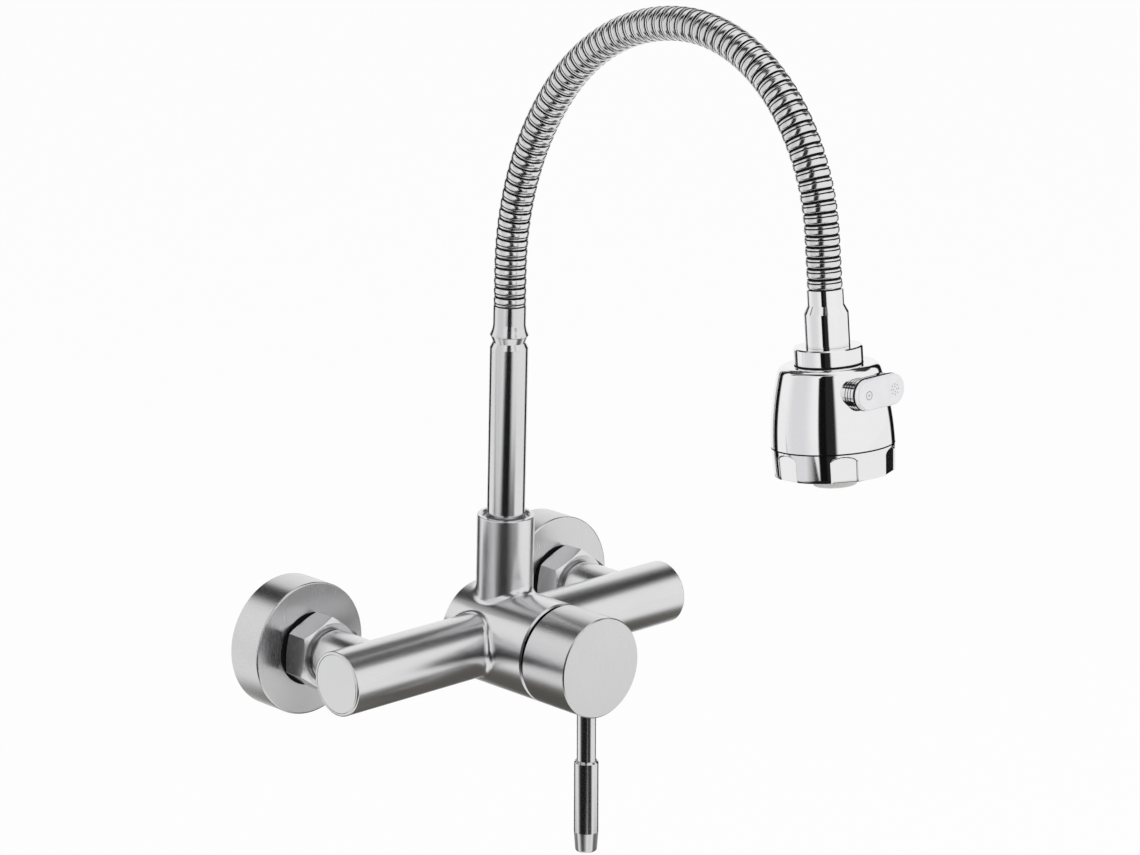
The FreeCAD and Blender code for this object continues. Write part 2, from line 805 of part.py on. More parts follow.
def inlet_union(side, shift):
    """Stud for the wall pipe, set below the body's axis, with a bend up to the union's thread."""
    union = new_body(f"inlet_union_{side}")
    rod(union, f"stud_{side}", (0, -d.union_offset, -d.stud_length), d.stud_radius,
        d.stud_length + d.union_bend_start)
    bend = union.newObject("PartDesign::AdditiveLoft", f"bend_{side}")
    bend.Profile = bend_ring(
        union, f"bend_rear_{side}", d.union_bend_start, -d.union_offset, d.stud_radius)
    bend.Sections = [
        bend_ring(union, f"bend_front_{side}", BEND_END, as_size(0), d.union_thread_radius)]
    bend.Ruled = True
    union.Tip = bend
    rod(union, f"thread_{side}", (0, 0, BEND_END), d.union_thread_radius, UNION_END - BEND_END)
    drill(union, f"stud_bore_{side}", (0, -d.union_offset, -d.stud_length - d.overrun), STUD_BORE,
          d.overrun + d.stud_length + d.union_bend_start + d.overrun)
    drill(union, f"cross_bore_{side}", (0, -d.union_offset / 2, d.union_bend_start),
          STUD_BORE - d.cross_bore_step, d.union_bend_length + d.overrun)
    drill(union, f"front_bore_{side}", (0, 0, BEND_END), UNION_BORE,
          UNION_END - BEND_END + d.overrun)
    in_frame(union, WALL, shift)


def escutcheon(side, shift):
    rim = d.escutcheon_radius - d.escutcheon_wall
    top = d.escutcheon_depth
    hole = d.union_thread_radius + d.free_gap
    cup = lathe(f"escutcheon_{side}", [
        (rim, 0), (d.escutcheon_radius, 0), (d.escutcheon_radius, top - d.escutcheon_edge),
        (d.escutcheon_radius - d.escutcheon_edge, top, -d.escutcheon_edge), (hole, top),
        (hole, top - d.escutcheon_wall), (rim, top - d.escutcheon_wall)])
    in_frame(cup, WALL, shift)


def union_nut(side, shift):
    """Hexagon nut with both ends turned to a cone, over the tail's flange."""
    nut = new_body(f"union_nut_{side}")
    corner = NUT_FLAT / cosine(30)
    primitive(nut, "AdditivePrism", f"hexagon_{side}", (0, 0, NUT_START), Vector(0, 0, 1),
              d.nut_turn, Circumradius=corner, Height=d.nut_length)
    outside = corner + d.overrun
    inset = NUT_FLAT - d.nut_land
    drop = (outside - inset) * d.nut_chamfer_slope
    for word, face, way in (("rear", NUT_START, 1), ("front", NUT_START + d.nut_length, -1)):
        groove(nut, f"nut_chamfer_{word}_{side}",
               [(inset, face), (outside, face), (outside, face + way * drop)])
    drill(nut, f"nut_thread_{side}", (0, 0, NUT_START - d.overrun), NUT_BORE,
          d.overrun + TAIL_FACE - NUT_START + d.seat_gap)
    drill(nut, f"nut_mouth_{side}", (0, 0, NUT_START), TAIL_SHANK + d.free_gap,
          d.nut_length + d.overrun)
    in_frame(nut, WALL, shift)


def inlet_tail(side, shift):
    """Washer, and the flanged tail that screws into the body's neck."""
    seal = tube(f"inlet_seal_{side}", UNION_BORE - d.washer_step, NUT_BORE - d.washer_margin,
                UNION_END, SEAL_END)
    in_frame(seal, WALL, shift)
    spigot_end = NECK_START + d.tail_spigot_length
    tail = lathe(f"inlet_tail_{side}", [
        (TAIL_BORE, SEAL_END), (TAIL_FLANGE, SEAL_END), (TAIL_FLANGE, TAIL_FACE),
        (TAIL_SHANK, TAIL_FACE), (TAIL_SHANK, NECK_START), (TAIL_SPIGOT, NECK_START),
        (TAIL_SPIGOT, spigot_end), (TAIL_BORE, spigot_end)])
    in_frame(tail, WALL, shift)


# Mixer body: one casting with its hub, tube, necks and spout socket.
SIDES = (("left", -1), ("right", 1))
SOCKET_LEAN = (Vector(1, 0, 0), d.spout_lean - 90)
PORT_SIDE = PORT_SPREAD * cosine(d.port_turn)
PORT_LOW = PORT_SPREAD * sine(d.port_turn)
PORTS = [(0, PORT_SPREAD), (-PORT_SIDE, -PORT_LOW), (PORT_SIDE, -PORT_LOW)]
PEGS = [(way * PEG_SPREAD * cosine(d.port_turn), PEG_SPREAD * sine(d.port_turn))
        for _, way in SIDES]


def along_socket(height):
    """A place on the spout's axis, in the wall frame."""
    return (0, height * cosine(d.spout_lean), SPOUT_STANDOFF + height * sine(d.spout_lean))


def is_ring(edge, radius):
    """Whether an edge is a full circle of a given radius."""
    curve = edge.Curve
    return (curve.TypeId == "Part::GeomCircle" and edge.Closed
            and abs(curve.Radius - radius.value) < 1e-6)


def casting():
    """The outside of the body, with the soft blends where its limbs meet."""
    body = lathe("mixer_body", [
        (0, HUB_REAR), (HUB_RADIUS - d.hub_back_edge, HUB_REAR),
        (HUB_RADIUS, HUB_REAR + d.hub_back_edge), (HUB_RADIUS, HUB_FRONT - d.hub_edge),
        (HUB_RADIUS - d.hub_edge, HUB_FRONT), (0, HUB_FRONT)])
    rod(body, "cross_tube", (-HALF_TUBE, 0, TUBE_STANDOFF), d.tube_radius, 2 * HALF_TUBE, ALONG_X)
    for side, way in SIDES:
        rod(body, f"neck_{side}", (way * d.inlet_spacing / 2, 0, NECK_START), NECK_RADIUS,
            TUBE_STANDOFF - NECK_START)
    rod(body, "socket", (0, 0, SPOUT_STANDOFF), SOCKET_RADIUS, SOCKET_TOP, SOCKET_LEAN)
    turned = ("Part::GeomLine", "Part::GeomCircle")
    round_edges(body, "cast_blends", BLEND_RADIUS, lambda edge: edge.Curve.TypeId not in turned)
    round_edges(body, "tube_rims", d.tube_edge, lambda edge: is_ring(edge, d.tube_radius))
    round_edges(body, "socket_rim", d.socket_edge, lambda edge: is_ring(edge, SOCKET_RADIUS))
    return body


def socket_cuts(body):
    """Spout socket: its bore, the clip's groove, the bevelled mouth and the outlet below."""
    drill(body, "socket_bore", along_socket(SOCKET_FLOOR), SOCKET_BORE,
          SOCKET_TOP - SOCKET_FLOOR + d.overrun, SOCKET_LEAN)
    drill(body, "clip_groove", along_socket(BUSH_END), CLIP_SEAT, d.clip_thickness + d.seat_gap,
          SOCKET_LEAN)
    bevel = body.newObject("PartDesign::SubtractiveCone", "socket_bevel")
    bind(bevel, "Radius1", SOCKET_BORE)
    bind(bevel, "Radius2", SOCKET_BORE + 2 * d.socket_bevel)
    bind(bevel, "Height", 2 * d.socket_bevel)
    bind_place(bevel, along_socket(SOCKET_TOP - d.socket_bevel), *SOCKET_LEAN)
    body.Tip = bevel
    drill(body, "outlet_channel", along_socket(PORT_SPREAD), d.outlet_radius,
          SOCKET_FLOOR - PORT_SPREAD + d.overrun, SOCKET_LEAN)


def inlet_cuts(body):
    """Hollow tube ends with the plugs' seats, the necks' threads and the channels to the ports."""
    plug_seat = d.tube_radius - d.plug_rim + d.seat_gap
    for (side, way), port in zip(SIDES, PORTS[1:]):
        for word, radius, depth in (
            ("tube_bore", d.tube_radius - d.tube_wall, HALF_TUBE - TUBE_CORE),
            ("plug_seat", plug_seat, d.plug_depth),
        ):
            start = -HALF_TUBE - d.overrun if way < 0 else HALF_TUBE - depth
            drill(body, f"{word}_{side}", (start, 0, TUBE_STANDOFF), radius, depth + d.overrun,
                  ALONG_X)
        place = way * d.inlet_spacing / 2
        drill(body, f"neck_thread_{side}", (place, 0, NECK_START - d.overrun),
              TAIL_SPIGOT + d.seat_gap, d.overrun + d.tail_spigot_length + d.free_gap)
        drill(body, f"neck_bore_{side}", (place, 0, NECK_START), TAIL_BORE,
              TUBE_STANDOFF - NECK_START)
        start = -TUBE_CORE - d.overrun if way < 0 else port[0]
        drill(body, f"inlet_channel_{side}", (start, port[1], TUBE_STANDOFF), d.channel_radius,
              TUBE_CORE + d.overrun - PORT_SIDE, ALONG_X)


def chamber_cuts(body):
    """Cartridge chamber with its thread, ports and peg holes."""
    for name, low, radius in (
        ("chamber", CARTRIDGE_SEAT, CARTRIDGE_RADIUS),
        ("chamber_thread", CARTRIDGE_SHOULDER, CARTRIDGE_NUT_RADIUS),
    ):
        drill(body, name, (0, 0, low), radius + d.seat_gap, HUB_FRONT - low + d.overrun)
    for number, port in enumerate(PORTS):
        drill(body, f"port_{number}", (*port, TUBE_STANDOFF), d.port_radius,
              CARTRIDGE_SEAT - TUBE_STANDOFF + d.overrun)
    for number, peg in enumerate(PEGS):
        low = CARTRIDGE_SEAT - d.peg_length - d.peg_clearance
        drill(body, f"peg_hole_{number}", (*peg, low), d.peg_radius + d.seat_gap,
              CARTRIDGE_SEAT - low + d.overrun)


def mixer_body():
    body = casting()
    socket_cuts(body)
    inlet_cuts(body)
    chamber_cuts(body)
    in_frame(body, WALL)


def end_plug(side, way):
    thread = d.tube_radius - d.tube_wall - d.seat_gap
    rim = d.tube_radius - d.plug_rim
    low = -d.plug_depth - d.plug_thread
    plug = lathe(f"end_plug_{side}", [
        (0, low), (thread, low), (thread, -d.plug_depth), (rim, -d.plug_depth),
        (rim, -d.plug_edge), (rim - d.plug_edge, 0), (0, 0)])
    put_across(plug, (way * HALF_TUBE, -TUBE_STANDOFF, AXIS), 90 * way)


def put_across(item, place, turn=90):
    """Put a turned piece with its axis along X."""
    bind_place(item, place, Vector(0, 1, 0), turn)
    parts.append(item)


# Ceramic cartridge.
def cartridge_base():
    base = tube("cartridge_base", 0, CARTRIDGE_RADIUS, CARTRIDGE_SEAT, BASE_TOP)
    for number, peg in enumerate(PEGS):
        rod(base, f"peg_{number}", (*peg, CARTRIDGE_SEAT - d.peg_length), d.peg_radius,
            d.peg_length + d.overrun)
    seal = d.port_radius + d.port_seal_width
    low = CARTRIDGE_SEAT - d.overrun
    for number, port in enumerate(PORTS):
        drill(base, f"base_port_{number}", (*port, low), d.port_radius,
              d.base_thickness + 2 * d.overrun)
        drill(base, f"seal_seat_{number}", (*port, low), seal + d.seat_gap,
              d.overrun + d.port_seal_thickness + d.seat_gap)
    in_frame(base, WALL)
    ring_group("port_seals", WALL, [(*port, CARTRIDGE_SEAT) for port in PORTS], seal,
               d.port_radius, d.port_seal_thickness)


def discs():
    disc = tube("fixed_disc", 0, DISC_RADIUS, BASE_TOP, DISC_TOP)
    for number, port in enumerate(PORTS):
        drill(disc, f"disc_port_{number}", (*port, BASE_TOP - d.overrun), d.port_radius,
              d.disc_thickness + 2 * d.overrun)
    in_frame(disc, WALL)

    slider = tube("sliding_disc", 0, SLIDER_RADIUS, SLIDER_LOW, SLIDER_TOP)
    drill(slider, "mixing_chamber", (0, 0, SLIDER_LOW - d.overrun), d.mixing_radius,
          d.overrun + d.mixing_depth)
    floor = BALL - d.stem_ball - d.ball_gap / 2
    drill(slider, "ball_pocket", (0, 0, floor), d.stem_ball + d.ball_gap,
          SLIDER_TOP - floor + d.overrun)
    in_frame(slider, WALL)


def cartridge_shell():
    housing = lathe("cartridge_housing", [
        (CARTRIDGE_BORE, BASE_TOP), (CARTRIDGE_RADIUS, BASE_TOP),
        (CARTRIDGE_RADIUS, CARTRIDGE_SHOULDER), (CARTRIDGE_NECK, CARTRIDGE_SHOULDER),
        (CARTRIDGE_NECK, CARTRIDGE_FRONT), (CARTRIDGE_MOUTH, CARTRIDGE_FRONT),
        (CARTRIDGE_MOUTH, CARTRIDGE_ROOF), (CARTRIDGE_BORE, CARTRIDGE_ROOF)])
    in_frame(housing, WALL)

    inner = CARTRIDGE_NECK + d.running_gap
    nut = lathe("cartridge_nut", [
        (inner, CARTRIDGE_SHOULDER), (CARTRIDGE_NUT_RADIUS, CARTRIDGE_SHOULDER),
        (CARTRIDGE_NUT_RADIUS, HUB_FRONT), (NOSE_RADIUS, HUB_FRONT),
        (NOSE_RADIUS, CARTRIDGE_NUT_FRONT), (inner, CARTRIDGE_NUT_FRONT)])
    notch = block(nut, "spanner_slot", "SubtractiveBox",
                  (inner - d.overrun, -d.spanner_slot_width / 2,
                   CARTRIDGE_NUT_FRONT - d.spanner_slot_depth),
                  (NOSE_RADIUS - inner + 2 * d.overrun, d.spanner_slot_width,
                   d.spanner_slot_depth + d.overrun))
    around(nut, "spanner_ring", [notch], d.spanner_slots)
    in_frame(nut, WALL)


def stem_set():
    """Rotor, the stem that tilts in it, and the pin between them."""
    skirt_low = DISC_TOP + d.skirt_clearance
    rotor = lathe("cartridge_rotor", [
        (0, ROTOR_LOW), (ROTOR_SKIRT, ROTOR_LOW), (ROTOR_SKIRT, skirt_low),
        (ROTOR_RADIUS, skirt_low), (ROTOR_RADIUS, ROTOR_STEP), (ROTOR_NECK, ROTOR_STEP),
        (ROTOR_NECK, ROTOR_FRONT), (0, ROTOR_FRONT)])
    block(rotor, "stem_slot", "SubtractiveBox", (-SLOT_HALF, -SLOT_BOTTOM, SLIDER_TOP),
          (2 * SLOT_HALF, SLOT_BOTTOM + SLOT_TOP, ROTOR_FRONT - SLIDER_TOP + d.overrun))
    drill(rotor, "pin_hole", (-ROTOR_RADIUS - d.overrun, 0, PIVOT), d.pivot_pin_radius + d.seat_gap,
          2 * (ROTOR_RADIUS + d.overrun), ALONG_X)
    in_frame(rotor, WALL)

    half_pin = ROTOR_RADIUS - d.pivot_pin_inset
    put_across(lathe("stem_pin", [
        (0, -half_pin), (d.pivot_pin_radius, -half_pin), (d.pivot_pin_radius, half_pin),
        (0, half_pin)]), (0, -PIVOT, AXIS))

    facet = d.ball_facet
    stem = lathe("stem", [
        (0, BALL - d.stem_ball), (facet, BALL - d.stem_ball), (d.stem_ball, BALL - facet),
        (d.stem_ball, BALL + facet / 2), (d.stem_waist, BALL + d.stem_ball),
        (d.stem_waist, PIVOT - d.stem_tip), (d.stem_tip_radius, PIVOT - d.stem_tip),
        (d.stem_radius, PIVOT - d.stem_shoulder), (d.stem_radius, STEM_END), (0, STEM_END)])
    drill(stem, "stem_eye", (-d.stem_radius - d.overrun, 0, PIVOT),
          d.pivot_pin_radius + d.running_gap, 2 * (d.stem_radius + d.overrun), ALONG_X)
    in_frame(stem, WALL)


# Handle: cap, lever rod and grip.
def handle_cap():
    boss_low = CAP_FLOOR - d.cap_boss_length
    boss_radius = d.stem_radius + d.cap_boss_wall
    cap = lathe("handle_cap", [
        (0, boss_low), (boss_radius, boss_low), (boss_radius, CAP_FLOOR), (CAP_INNER, CAP_FLOOR),
        (CAP_INNER, CAP_RIM), (HUB_RADIUS, CAP_RIM), (HUB_RADIUS, CAP_FRONT - d.cap_edge),
        (HUB_RADIUS - d.cap_edge, CAP_FRONT), (0, CAP_FRONT)])
    boss_end = CAP_INNER + d.cap_wall / 2
    rod(cap, "lever_boss", (0, -boss_end, LEVER_STANDOFF), d.rod_radius + d.lever_boss_wall,
        boss_end - d.stem_radius, ALONG_Y)
    width = 2 * (HUB_RADIUS + d.overrun)
    block(cap, "oblique_rim", "SubtractiveBox", (-width / 2, -HUB_RADIUS, CAP_RIM - width / 2),
          (width, width, width / 2), Vector(1, 0, 0), d.cap_rim_turn)
    drill(cap, "stem_bore", (0, 0, boss_low - d.overrun), d.stem_radius + d.seat_gap,
          STEM_END - boss_low + d.overrun + d.seat_gap)
    for name, radius, depth in (
        ("lever_thread", ROD_THREAD, HUB_RADIUS), ("lever_seat", d.rod_radius, d.lever_recess),
    ):
        drill(cap, name, (0, -HUB_RADIUS - d.overrun, LEVER_STANDOFF), radius + d.seat_gap,
              depth + d.overrun, ALONG_Y)
    in_frame(cap, WALL)


def lever():
    low = d.stem_radius + d.seat_gap
    shoulder = HUB_RADIUS - d.lever_recess
    rod_piece = lathe("lever_rod", [
        (0, low), (ROD_THREAD, low), (ROD_THREAD, shoulder), (d.rod_radius, shoulder),
        (d.rod_radius, ROD_END), (ROD_THREAD, ROD_END), (ROD_THREAD, ROD_TIP), (0, ROD_TIP)])
    in_frame(rod_piece, LEVER)

    bore = ROD_THREAD + d.seat_gap
    bore_end = ROD_TIP + d.slider_clearance
    grip = lathe("lever_grip", [
        (bore, ROD_END), (GRIP_RADIUS - d.grip_shoulder, ROD_END),
        (GRIP_RADIUS, ROD_END + d.grip_shoulder), (GRIP_RADIUS, GRIP_END - d.grip_taper),
        (GRIP_TIP, GRIP_END - d.grip_round),
        (GRIP_TIP - d.grip_round, GRIP_END, -d.grip_round), (0, GRIP_END), (0, bore_end),
        (bore, bore_end)])
    in_frame(grip, LEVER)


# Riser with its bearing in the socket.
RINGS = [FIRST_RING, FIRST_RING + d.ring_pitch]


def riser_tube():
    low = SOCKET_FLOOR + d.free_gap
    stop_radius = SOCKET_BORE - d.stop_clearance
    outline = [(RISER_BORE, low), (RISER_RADIUS, low)]
    for start in RINGS:
        end = start + d.ring_height
        outline += [(RISER_RADIUS, start), (RING_ROOT, start), (RING_ROOT, end),
                    (RISER_RADIUS, end)]
    outline += [
        (RISER_RADIUS, STOP_LOW), (stop_radius, STOP_LOW), (stop_radius, STOP_TOP),
        (RISER_RADIUS, STOP_TOP), (RISER_RADIUS, RISER_TOP),
        (RISER_RADIUS - d.riser_chamfer_width, RISER_FACE), (RISER_BORE, RISER_FACE)]
    in_frame(lathe("riser_tube", outline), SPOUT)


def riser_bearing():
    """Bush over the riser's stop, two rings below it and the clip that holds it in."""
    bush = tube("spout_bush", RISER_RADIUS + d.running_gap, SOCKET_BORE - d.seat_gap, BUSH_START,
                BUSH_END)
    in_frame(bush, SPOUT)
    ring_group("spout_seals", SPOUT, [(0, 0, start + d.seal_gap) for start in RINGS],
               SOCKET_BORE - d.seat_gap, RING_ROOT + d.running_gap,
               d.ring_height - 2 * d.seal_gap)
    clip = tube("spout_clip", RISER_RADIUS + d.free_gap, CLIP_SEAT - d.running_gap, BUSH_END,
                BUSH_END + d.clip_thickness)
    block(clip, "clip_gap", "SubtractiveBox", (-d.clip_opening / 2, 0, BUSH_END - d.overrun),
          (d.clip_opening, 2 * SOCKET_BORE, d.clip_thickness + 2 * d.overrun))
    in_frame(clip, SPOUT)


def riser_ferrule():
    """Crimped sleeve: a cone out to a round lip, and a hollow taper to the hose's radius."""
    low = RISER_FACE - d.ferrule_spigot
    bore = INNER_HOSE + d.seat_gap
    spigot = bore + d.ferrule_wall
    bulge = RIB_RADIUS + d.ferrule_bulge
    lip = RISER_FACE + d.ferrule_cone
    taper = lip + d.ferrule_lip
    ferrule = lathe("riser_ferrule", [
        (bore, low), (spigot, low), (spigot, RISER_FACE),
        (RISER_RADIUS - d.riser_chamfer_width, RISER_FACE), (bulge, lip),
        (bulge, taper, -d.ferrule_lip_round),
        (RIB_RADIUS, taper + d.ferrule_taper, d.ferrule_taper_sweep), (RIB_RADIUS, FERRULE_TOP),
        (bore, FERRULE_TOP)])
    in_frame(ferrule, SPOUT)


# Gooseneck, drawn from its run of arcs in the spout's own frame.
def neck_path():
    """The gooseneck's length, and a function from a distance along it to place and heading."""
    runs = [(d.lead_length.value, None)]
    runs += [(radius.value * math.radians(turn.value), radius.value) for radius, turn in BENDS]
    runs += [(d.tail_length.value, None)]

    def at(distance):
        forward, height, heading = 0.0, FERRULE_TOP.value, 0.0
        for length, radius in runs:
            step = min(distance, length)
            if radius is None:
                forward += step * math.sin(heading)
                height += step * math.cos(heading)
            else:
                after = heading + step / radius
                forward += radius * (math.cos(heading) - math.cos(after))
                height += radius * (math.sin(after) - math.sin(heading))
                heading = after
            distance -= step
            if distance <= 1e-9:
                break
        return Vector(0, -forward, height), Vector(0, -math.sin(heading), math.cos(heading))

    return at, sum(length for length, _ in runs)


def ring_wire(place, heading, radius):
    """A circle square to the path whose first point is always on the same side."""
    circle = Part.Circle()
    circle.Center = place
    circle.Axis = heading
    circle.Radius = radius
    circle.XAxis = Vector(1, 0, 0)
    return Part.Wire(circle.toShape())


def shape_feature(name, shape, frame):
    feature = doc.addObject("Part::Feature", name)
    feature.Label = name
    feature.Shape = shape
    in_frame(feature, frame)


# One rib of the gooseneck: shares of its pitch, with the crest's band between two slopes.
RIB_RISE, CREST_END, RIB_FALL = 0.1, 0.62, 0.72
BORE_SPANS = 48


def gooseneck_hose():
    at, length = neck_path()
    count = int(round(d.rib_count.value))
    pitch = length / count
    crest, valley = RIB_RADIUS.value, VALLEY_RADIUS.value
    profile = [(0.0, valley), (RIB_RISE, crest), (CREST_END, crest), (RIB_FALL, valley)]
    stations = [((rib + share) * pitch, radius) for rib in range(count) for share, radius in profile]
    stations.append((length, valley))
    outer = Part.makeLoft([ring_wire(*at(reach), radius) for reach, radius in stations], True, True)
    cuts = [at(index * length / BORE_SPANS) for index in range(BORE_SPANS + 1)]
    bore = Part.makeLoft([ring_wire(*cut, HOSE_BORE.value) for cut in cuts], True, True)
    shape_feature("gooseneck_hose", outer.cut(bore), SPOUT)
    print("gooseneck length, pitch", round(length, 2), round(pitch, 3))


def inner_hose():
    """Smooth water hose inside the gooseneck, held by the ferrule and the head's fitting."""
    at, length = neck_path()
    overlap = d.hose_overlap.value
    low = Vector(0, 0, FERRULE_TOP.value - overlap)
    reach = d.lead_length.value
    path = [Part.LineSegment(low, at(reach)[0]).toShape()]
    for radius, turn in BENDS:
        span = radius.value * math.radians(turn.value)
        path.append(Part.Arc(*[at(reach + span * share)[0] for share in (0, 0.5, 1)]).toShape())
        reach += span
    end, heading = at(length)
    path.append(Part.LineSegment(at(reach)[0], end + heading * overlap).toShape())
    wire = Part.Wire(path)
    pipes = []
    for radius in (INNER_HOSE.value, d.inner_hose_bore.value):
        pipes.append(wire.makePipeShell([ring_wire(low, Vector(0, 0, 1), radius)], True, False))
    hose = pipes[0].cut(pipes[1])
    shape_feature("inner_hose", hose, SPOUT)
    section = math.pi * (INNER_HOSE.value**2 - d.inner_hose_bore.value**2)
    total = length + 2 * overlap
    print("inner hose volume against section times length", hose.Volume, section * total)


# Spray head, in its own frame: Z runs down its axis and Y points to the front.
def oblong(body, name, kind, length, height, low, depth):
    """A round ended bar along Y at the diverter's height, long in X: two cylinders and a box."""
    radius = height / 2
    straight = length - height
    for word, way in SIDES:
        primitive(body, f"{kind}Cylinder", f"{name}_{word}", (way * straight / 2, low, PLATE_CENTRE),
                  *ALONG_Y, Radius=radius, Height=depth)
    block(body, name, f"{kind}Box", (-straight / 2, low, PLATE_CENTRE - radius),
          (straight, depth, height))


def head_top():
    """Fitting on the hose's end with its swivel flange and ring, and the collar that holds it."""
    bore = INNER_HOSE + d.seat_gap
    step = d.hose_overlap + d.free_gap
    ring = FLANGE_LOW + d.swivel_ring_start
    ring_end = ring + d.ring_height
    fitting = lathe("hose_end_fitting", [
        (bore, 0), (FITTING_RADIUS, 0), (FITTING_RADIUS, d.fitting_length),
        (SLEEVE_RADIUS, SLEEVE_START), (SLEEVE_RADIUS, SLEEVE_END), (SWIVEL_STEM, SLEEVE_END),
        (SWIVEL_STEM, FLANGE_TOP), (SWIVEL_FLANGE, FLANGE_TOP), (SWIVEL_FLANGE, FLANGE_LOW),
        (SWIVEL_SPIGOT, FLANGE_LOW), (SWIVEL_SPIGOT, ring), (SWIVEL_ROOT, ring),
        (SWIVEL_ROOT, ring_end), (SWIVEL_SPIGOT, ring_end), (SWIVEL_SPIGOT, SPIGOT_END),
        (d.inner_hose_bore, SPIGOT_END), (d.inner_hose_bore, step), (bore, step)])
    in_frame(fitting, HEAD)
    seal = tube("swivel_seal", SWIVEL_ROOT + d.seat_gap, SWIVEL_SPIGOT + d.seat_gap,
                ring + d.seal_gap, ring_end - d.seal_gap)
    in_frame(seal, HEAD)

    hole = SWIVEL_STEM + d.free_gap
    collar = lathe("collar_nut", [
        (hole, COLLAR_START), (COLLAR_RADIUS - d.collar_edge, COLLAR_START),
        (COLLAR_RADIUS, COLLAR_START + d.collar_edge), (COLLAR_RADIUS, COLLAR_END - d.collar_edge),
        (COLLAR_RADIUS - d.collar_edge, COLLAR_END), (COLLAR_THREAD, COLLAR_END),
        (COLLAR_THREAD, COLLAR_INNER), (hole, COLLAR_INNER)])
    in_frame(collar, HEAD)


def head_shell():
    """Flared housing with the diverter's boss, hollow below its roof."""
    neck_top = COLLAR_INNER + d.shell_neck_clearance
    shell = lathe("head_shell", [
        (0, neck_top), (SHELL_NECK, neck_top), (SHELL_NECK, SHELL_TOP), (SHOULDER_FLAT, SHELL_TOP),
        (SHOULDER_RADIUS, SHOULDER, -d.shoulder_sweep), (SHELL_RADIUS, SHELL_END, -d.shell_sweep),
        (0, SHELL_END)])
    inside = BLOCK_RADIUS - d.overrun
    oblong(shell, "diverter_boss", "Additive", d.plate_length - 2 * d.plate_inset,
           d.plate_height - 2 * d.plate_inset, inside, BOSS_FACE - inside)
    groove(shell, "cavity", [
        (0, SHELL_ROOF), (SHOULDER_RADIUS - d.shell_wall, SHELL_ROOF),
        (SHELL_INNER, RING_TOP - d.shell_lip, -d.shell_sweep), (SHELL_INNER, SHELL_END + d.overrun),
        (0, SHELL_END + d.overrun)])
    drill(shell, "neck_bore", (0, 0, neck_top - d.overrun), SHELL_BORE,
          SHELL_ROOF - neck_top + 2 * d.overrun)
    block(shell, "rocker_opening", "SubtractiveBox",
          (-ROCKER_OPENING / 2, inside - d.overrun, PLATE_CENTRE - ROCKER_TALL / 2),
          (ROCKER_OPENING, BOSS_FACE - inside + 2 * d.overrun, ROCKER_TALL))
    drill(shell, "rocker_pin_hole", (0, ROCKER_PIN, PLATE_CENTRE - d.rocker_pin_length / 2),
          d.rocker_pin_radius + d.seat_gap, RING_TOP - PLATE_CENTRE)
    in_frame(shell, HEAD)


def place_in_head(item, forward, height):
    """Put a piece whose axis runs with the head's at a place in the head's plane of symmetry."""
    bind_place(item, head_point(forward, height), Vector(1, 0, 0), HEAD.turn)
    parts.append(item)


def head_point(forward, height):
    """A place in the head's plane of symmetry, in the object's frame."""
    return (
        as_size(0),
        HEAD.place[1] + forward * cosine(HEAD.turn) - height * sine(HEAD.turn),
        HEAD.place[2] + forward * sine(HEAD.turn) + height * cosine(HEAD.turn),
    )


def diverter_rocker():
    """Oblong button with a lug for its pin and a tail that moves the spool."""
    rocker = new_body("diverter_rocker")
    edge = d.plate_edge
    oblong(rocker, "plate_face", "Additive", d.plate_length - 2 * edge, d.plate_height - 2 * edge,
           PLATE_REAR, d.plate_thickness)
    oblong(rocker, "plate", "Additive", d.plate_length, d.plate_height, PLATE_REAR,
           d.plate_thickness - edge)
    lug_high = PLATE_REAR + d.plate_thickness / 2
    low = PLATE_CENTRE - d.rocker_lug_height / 2
    for name, width, start, end in (
        ("lug", d.rocker_lug_width, LUG_LOW, lug_high),
        ("tail", d.rocker_tail_width, TAIL_TIP, ROCKER_PIN),
    ):
        block(rocker, name, "AdditiveBox", (-width / 2, start, low),
              (width, end - start, d.rocker_lug_height))
    drill(rocker, "lug_eye", (0, ROCKER_PIN, low - d.overrun), d.rocker_pin_radius + d.running_gap,
          d.rocker_lug_height + 2 * d.overrun)
    in_frame(rocker, HEAD)

    half_pin = d.rocker_pin_length / 2
    pin = lathe("rocker_pin", [
        (0, -half_pin), (d.rocker_pin_radius, -half_pin), (d.rocker_pin_radius, half_pin),
        (0, half_pin)])
    place_in_head(pin, ROCKER_PIN, PLATE_CENTRE)


def diverter_spool():
    """Spool across the head, with a waist for the rocker's tail and a seal to each side."""
    half = d.spool_length / 2
    seal_low = d.spool_seal_spread
    seal_high = seal_low + d.spool_seal_width
    root = d.spool_radius - d.spool_seal_depth
    notch = d.rocker_tail_width / 2 + d.rocker_notch_room
    waist = d.spool_radius - d.spool_groove
    outline = [(0, -half), (d.spool_radius, -half)]
    for low, high, depth in ((-seal_high, -seal_low, root), (-notch, notch, waist),
                             (seal_low, seal_high, root)):
        outline += [(d.spool_radius, low), (depth, low), (depth, high), (d.spool_radius, high)]
    outline += [(d.spool_radius, half), (0, half)]
    put_across(lathe("diverter_spool", outline), head_point(SPOOL_STANDOFF, PLATE_CENTRE))
    ring_group("spool_seals", HEAD,
               [(low + d.running_gap, SPOOL_STANDOFF, PLATE_CENTRE)
                for low in (-seal_high, seal_low)],
               d.spool_radius + d.seat_gap / 2, root + d.seat_gap,
               d.spool_seal_width - 2 * d.running_gap, ALONG_X)


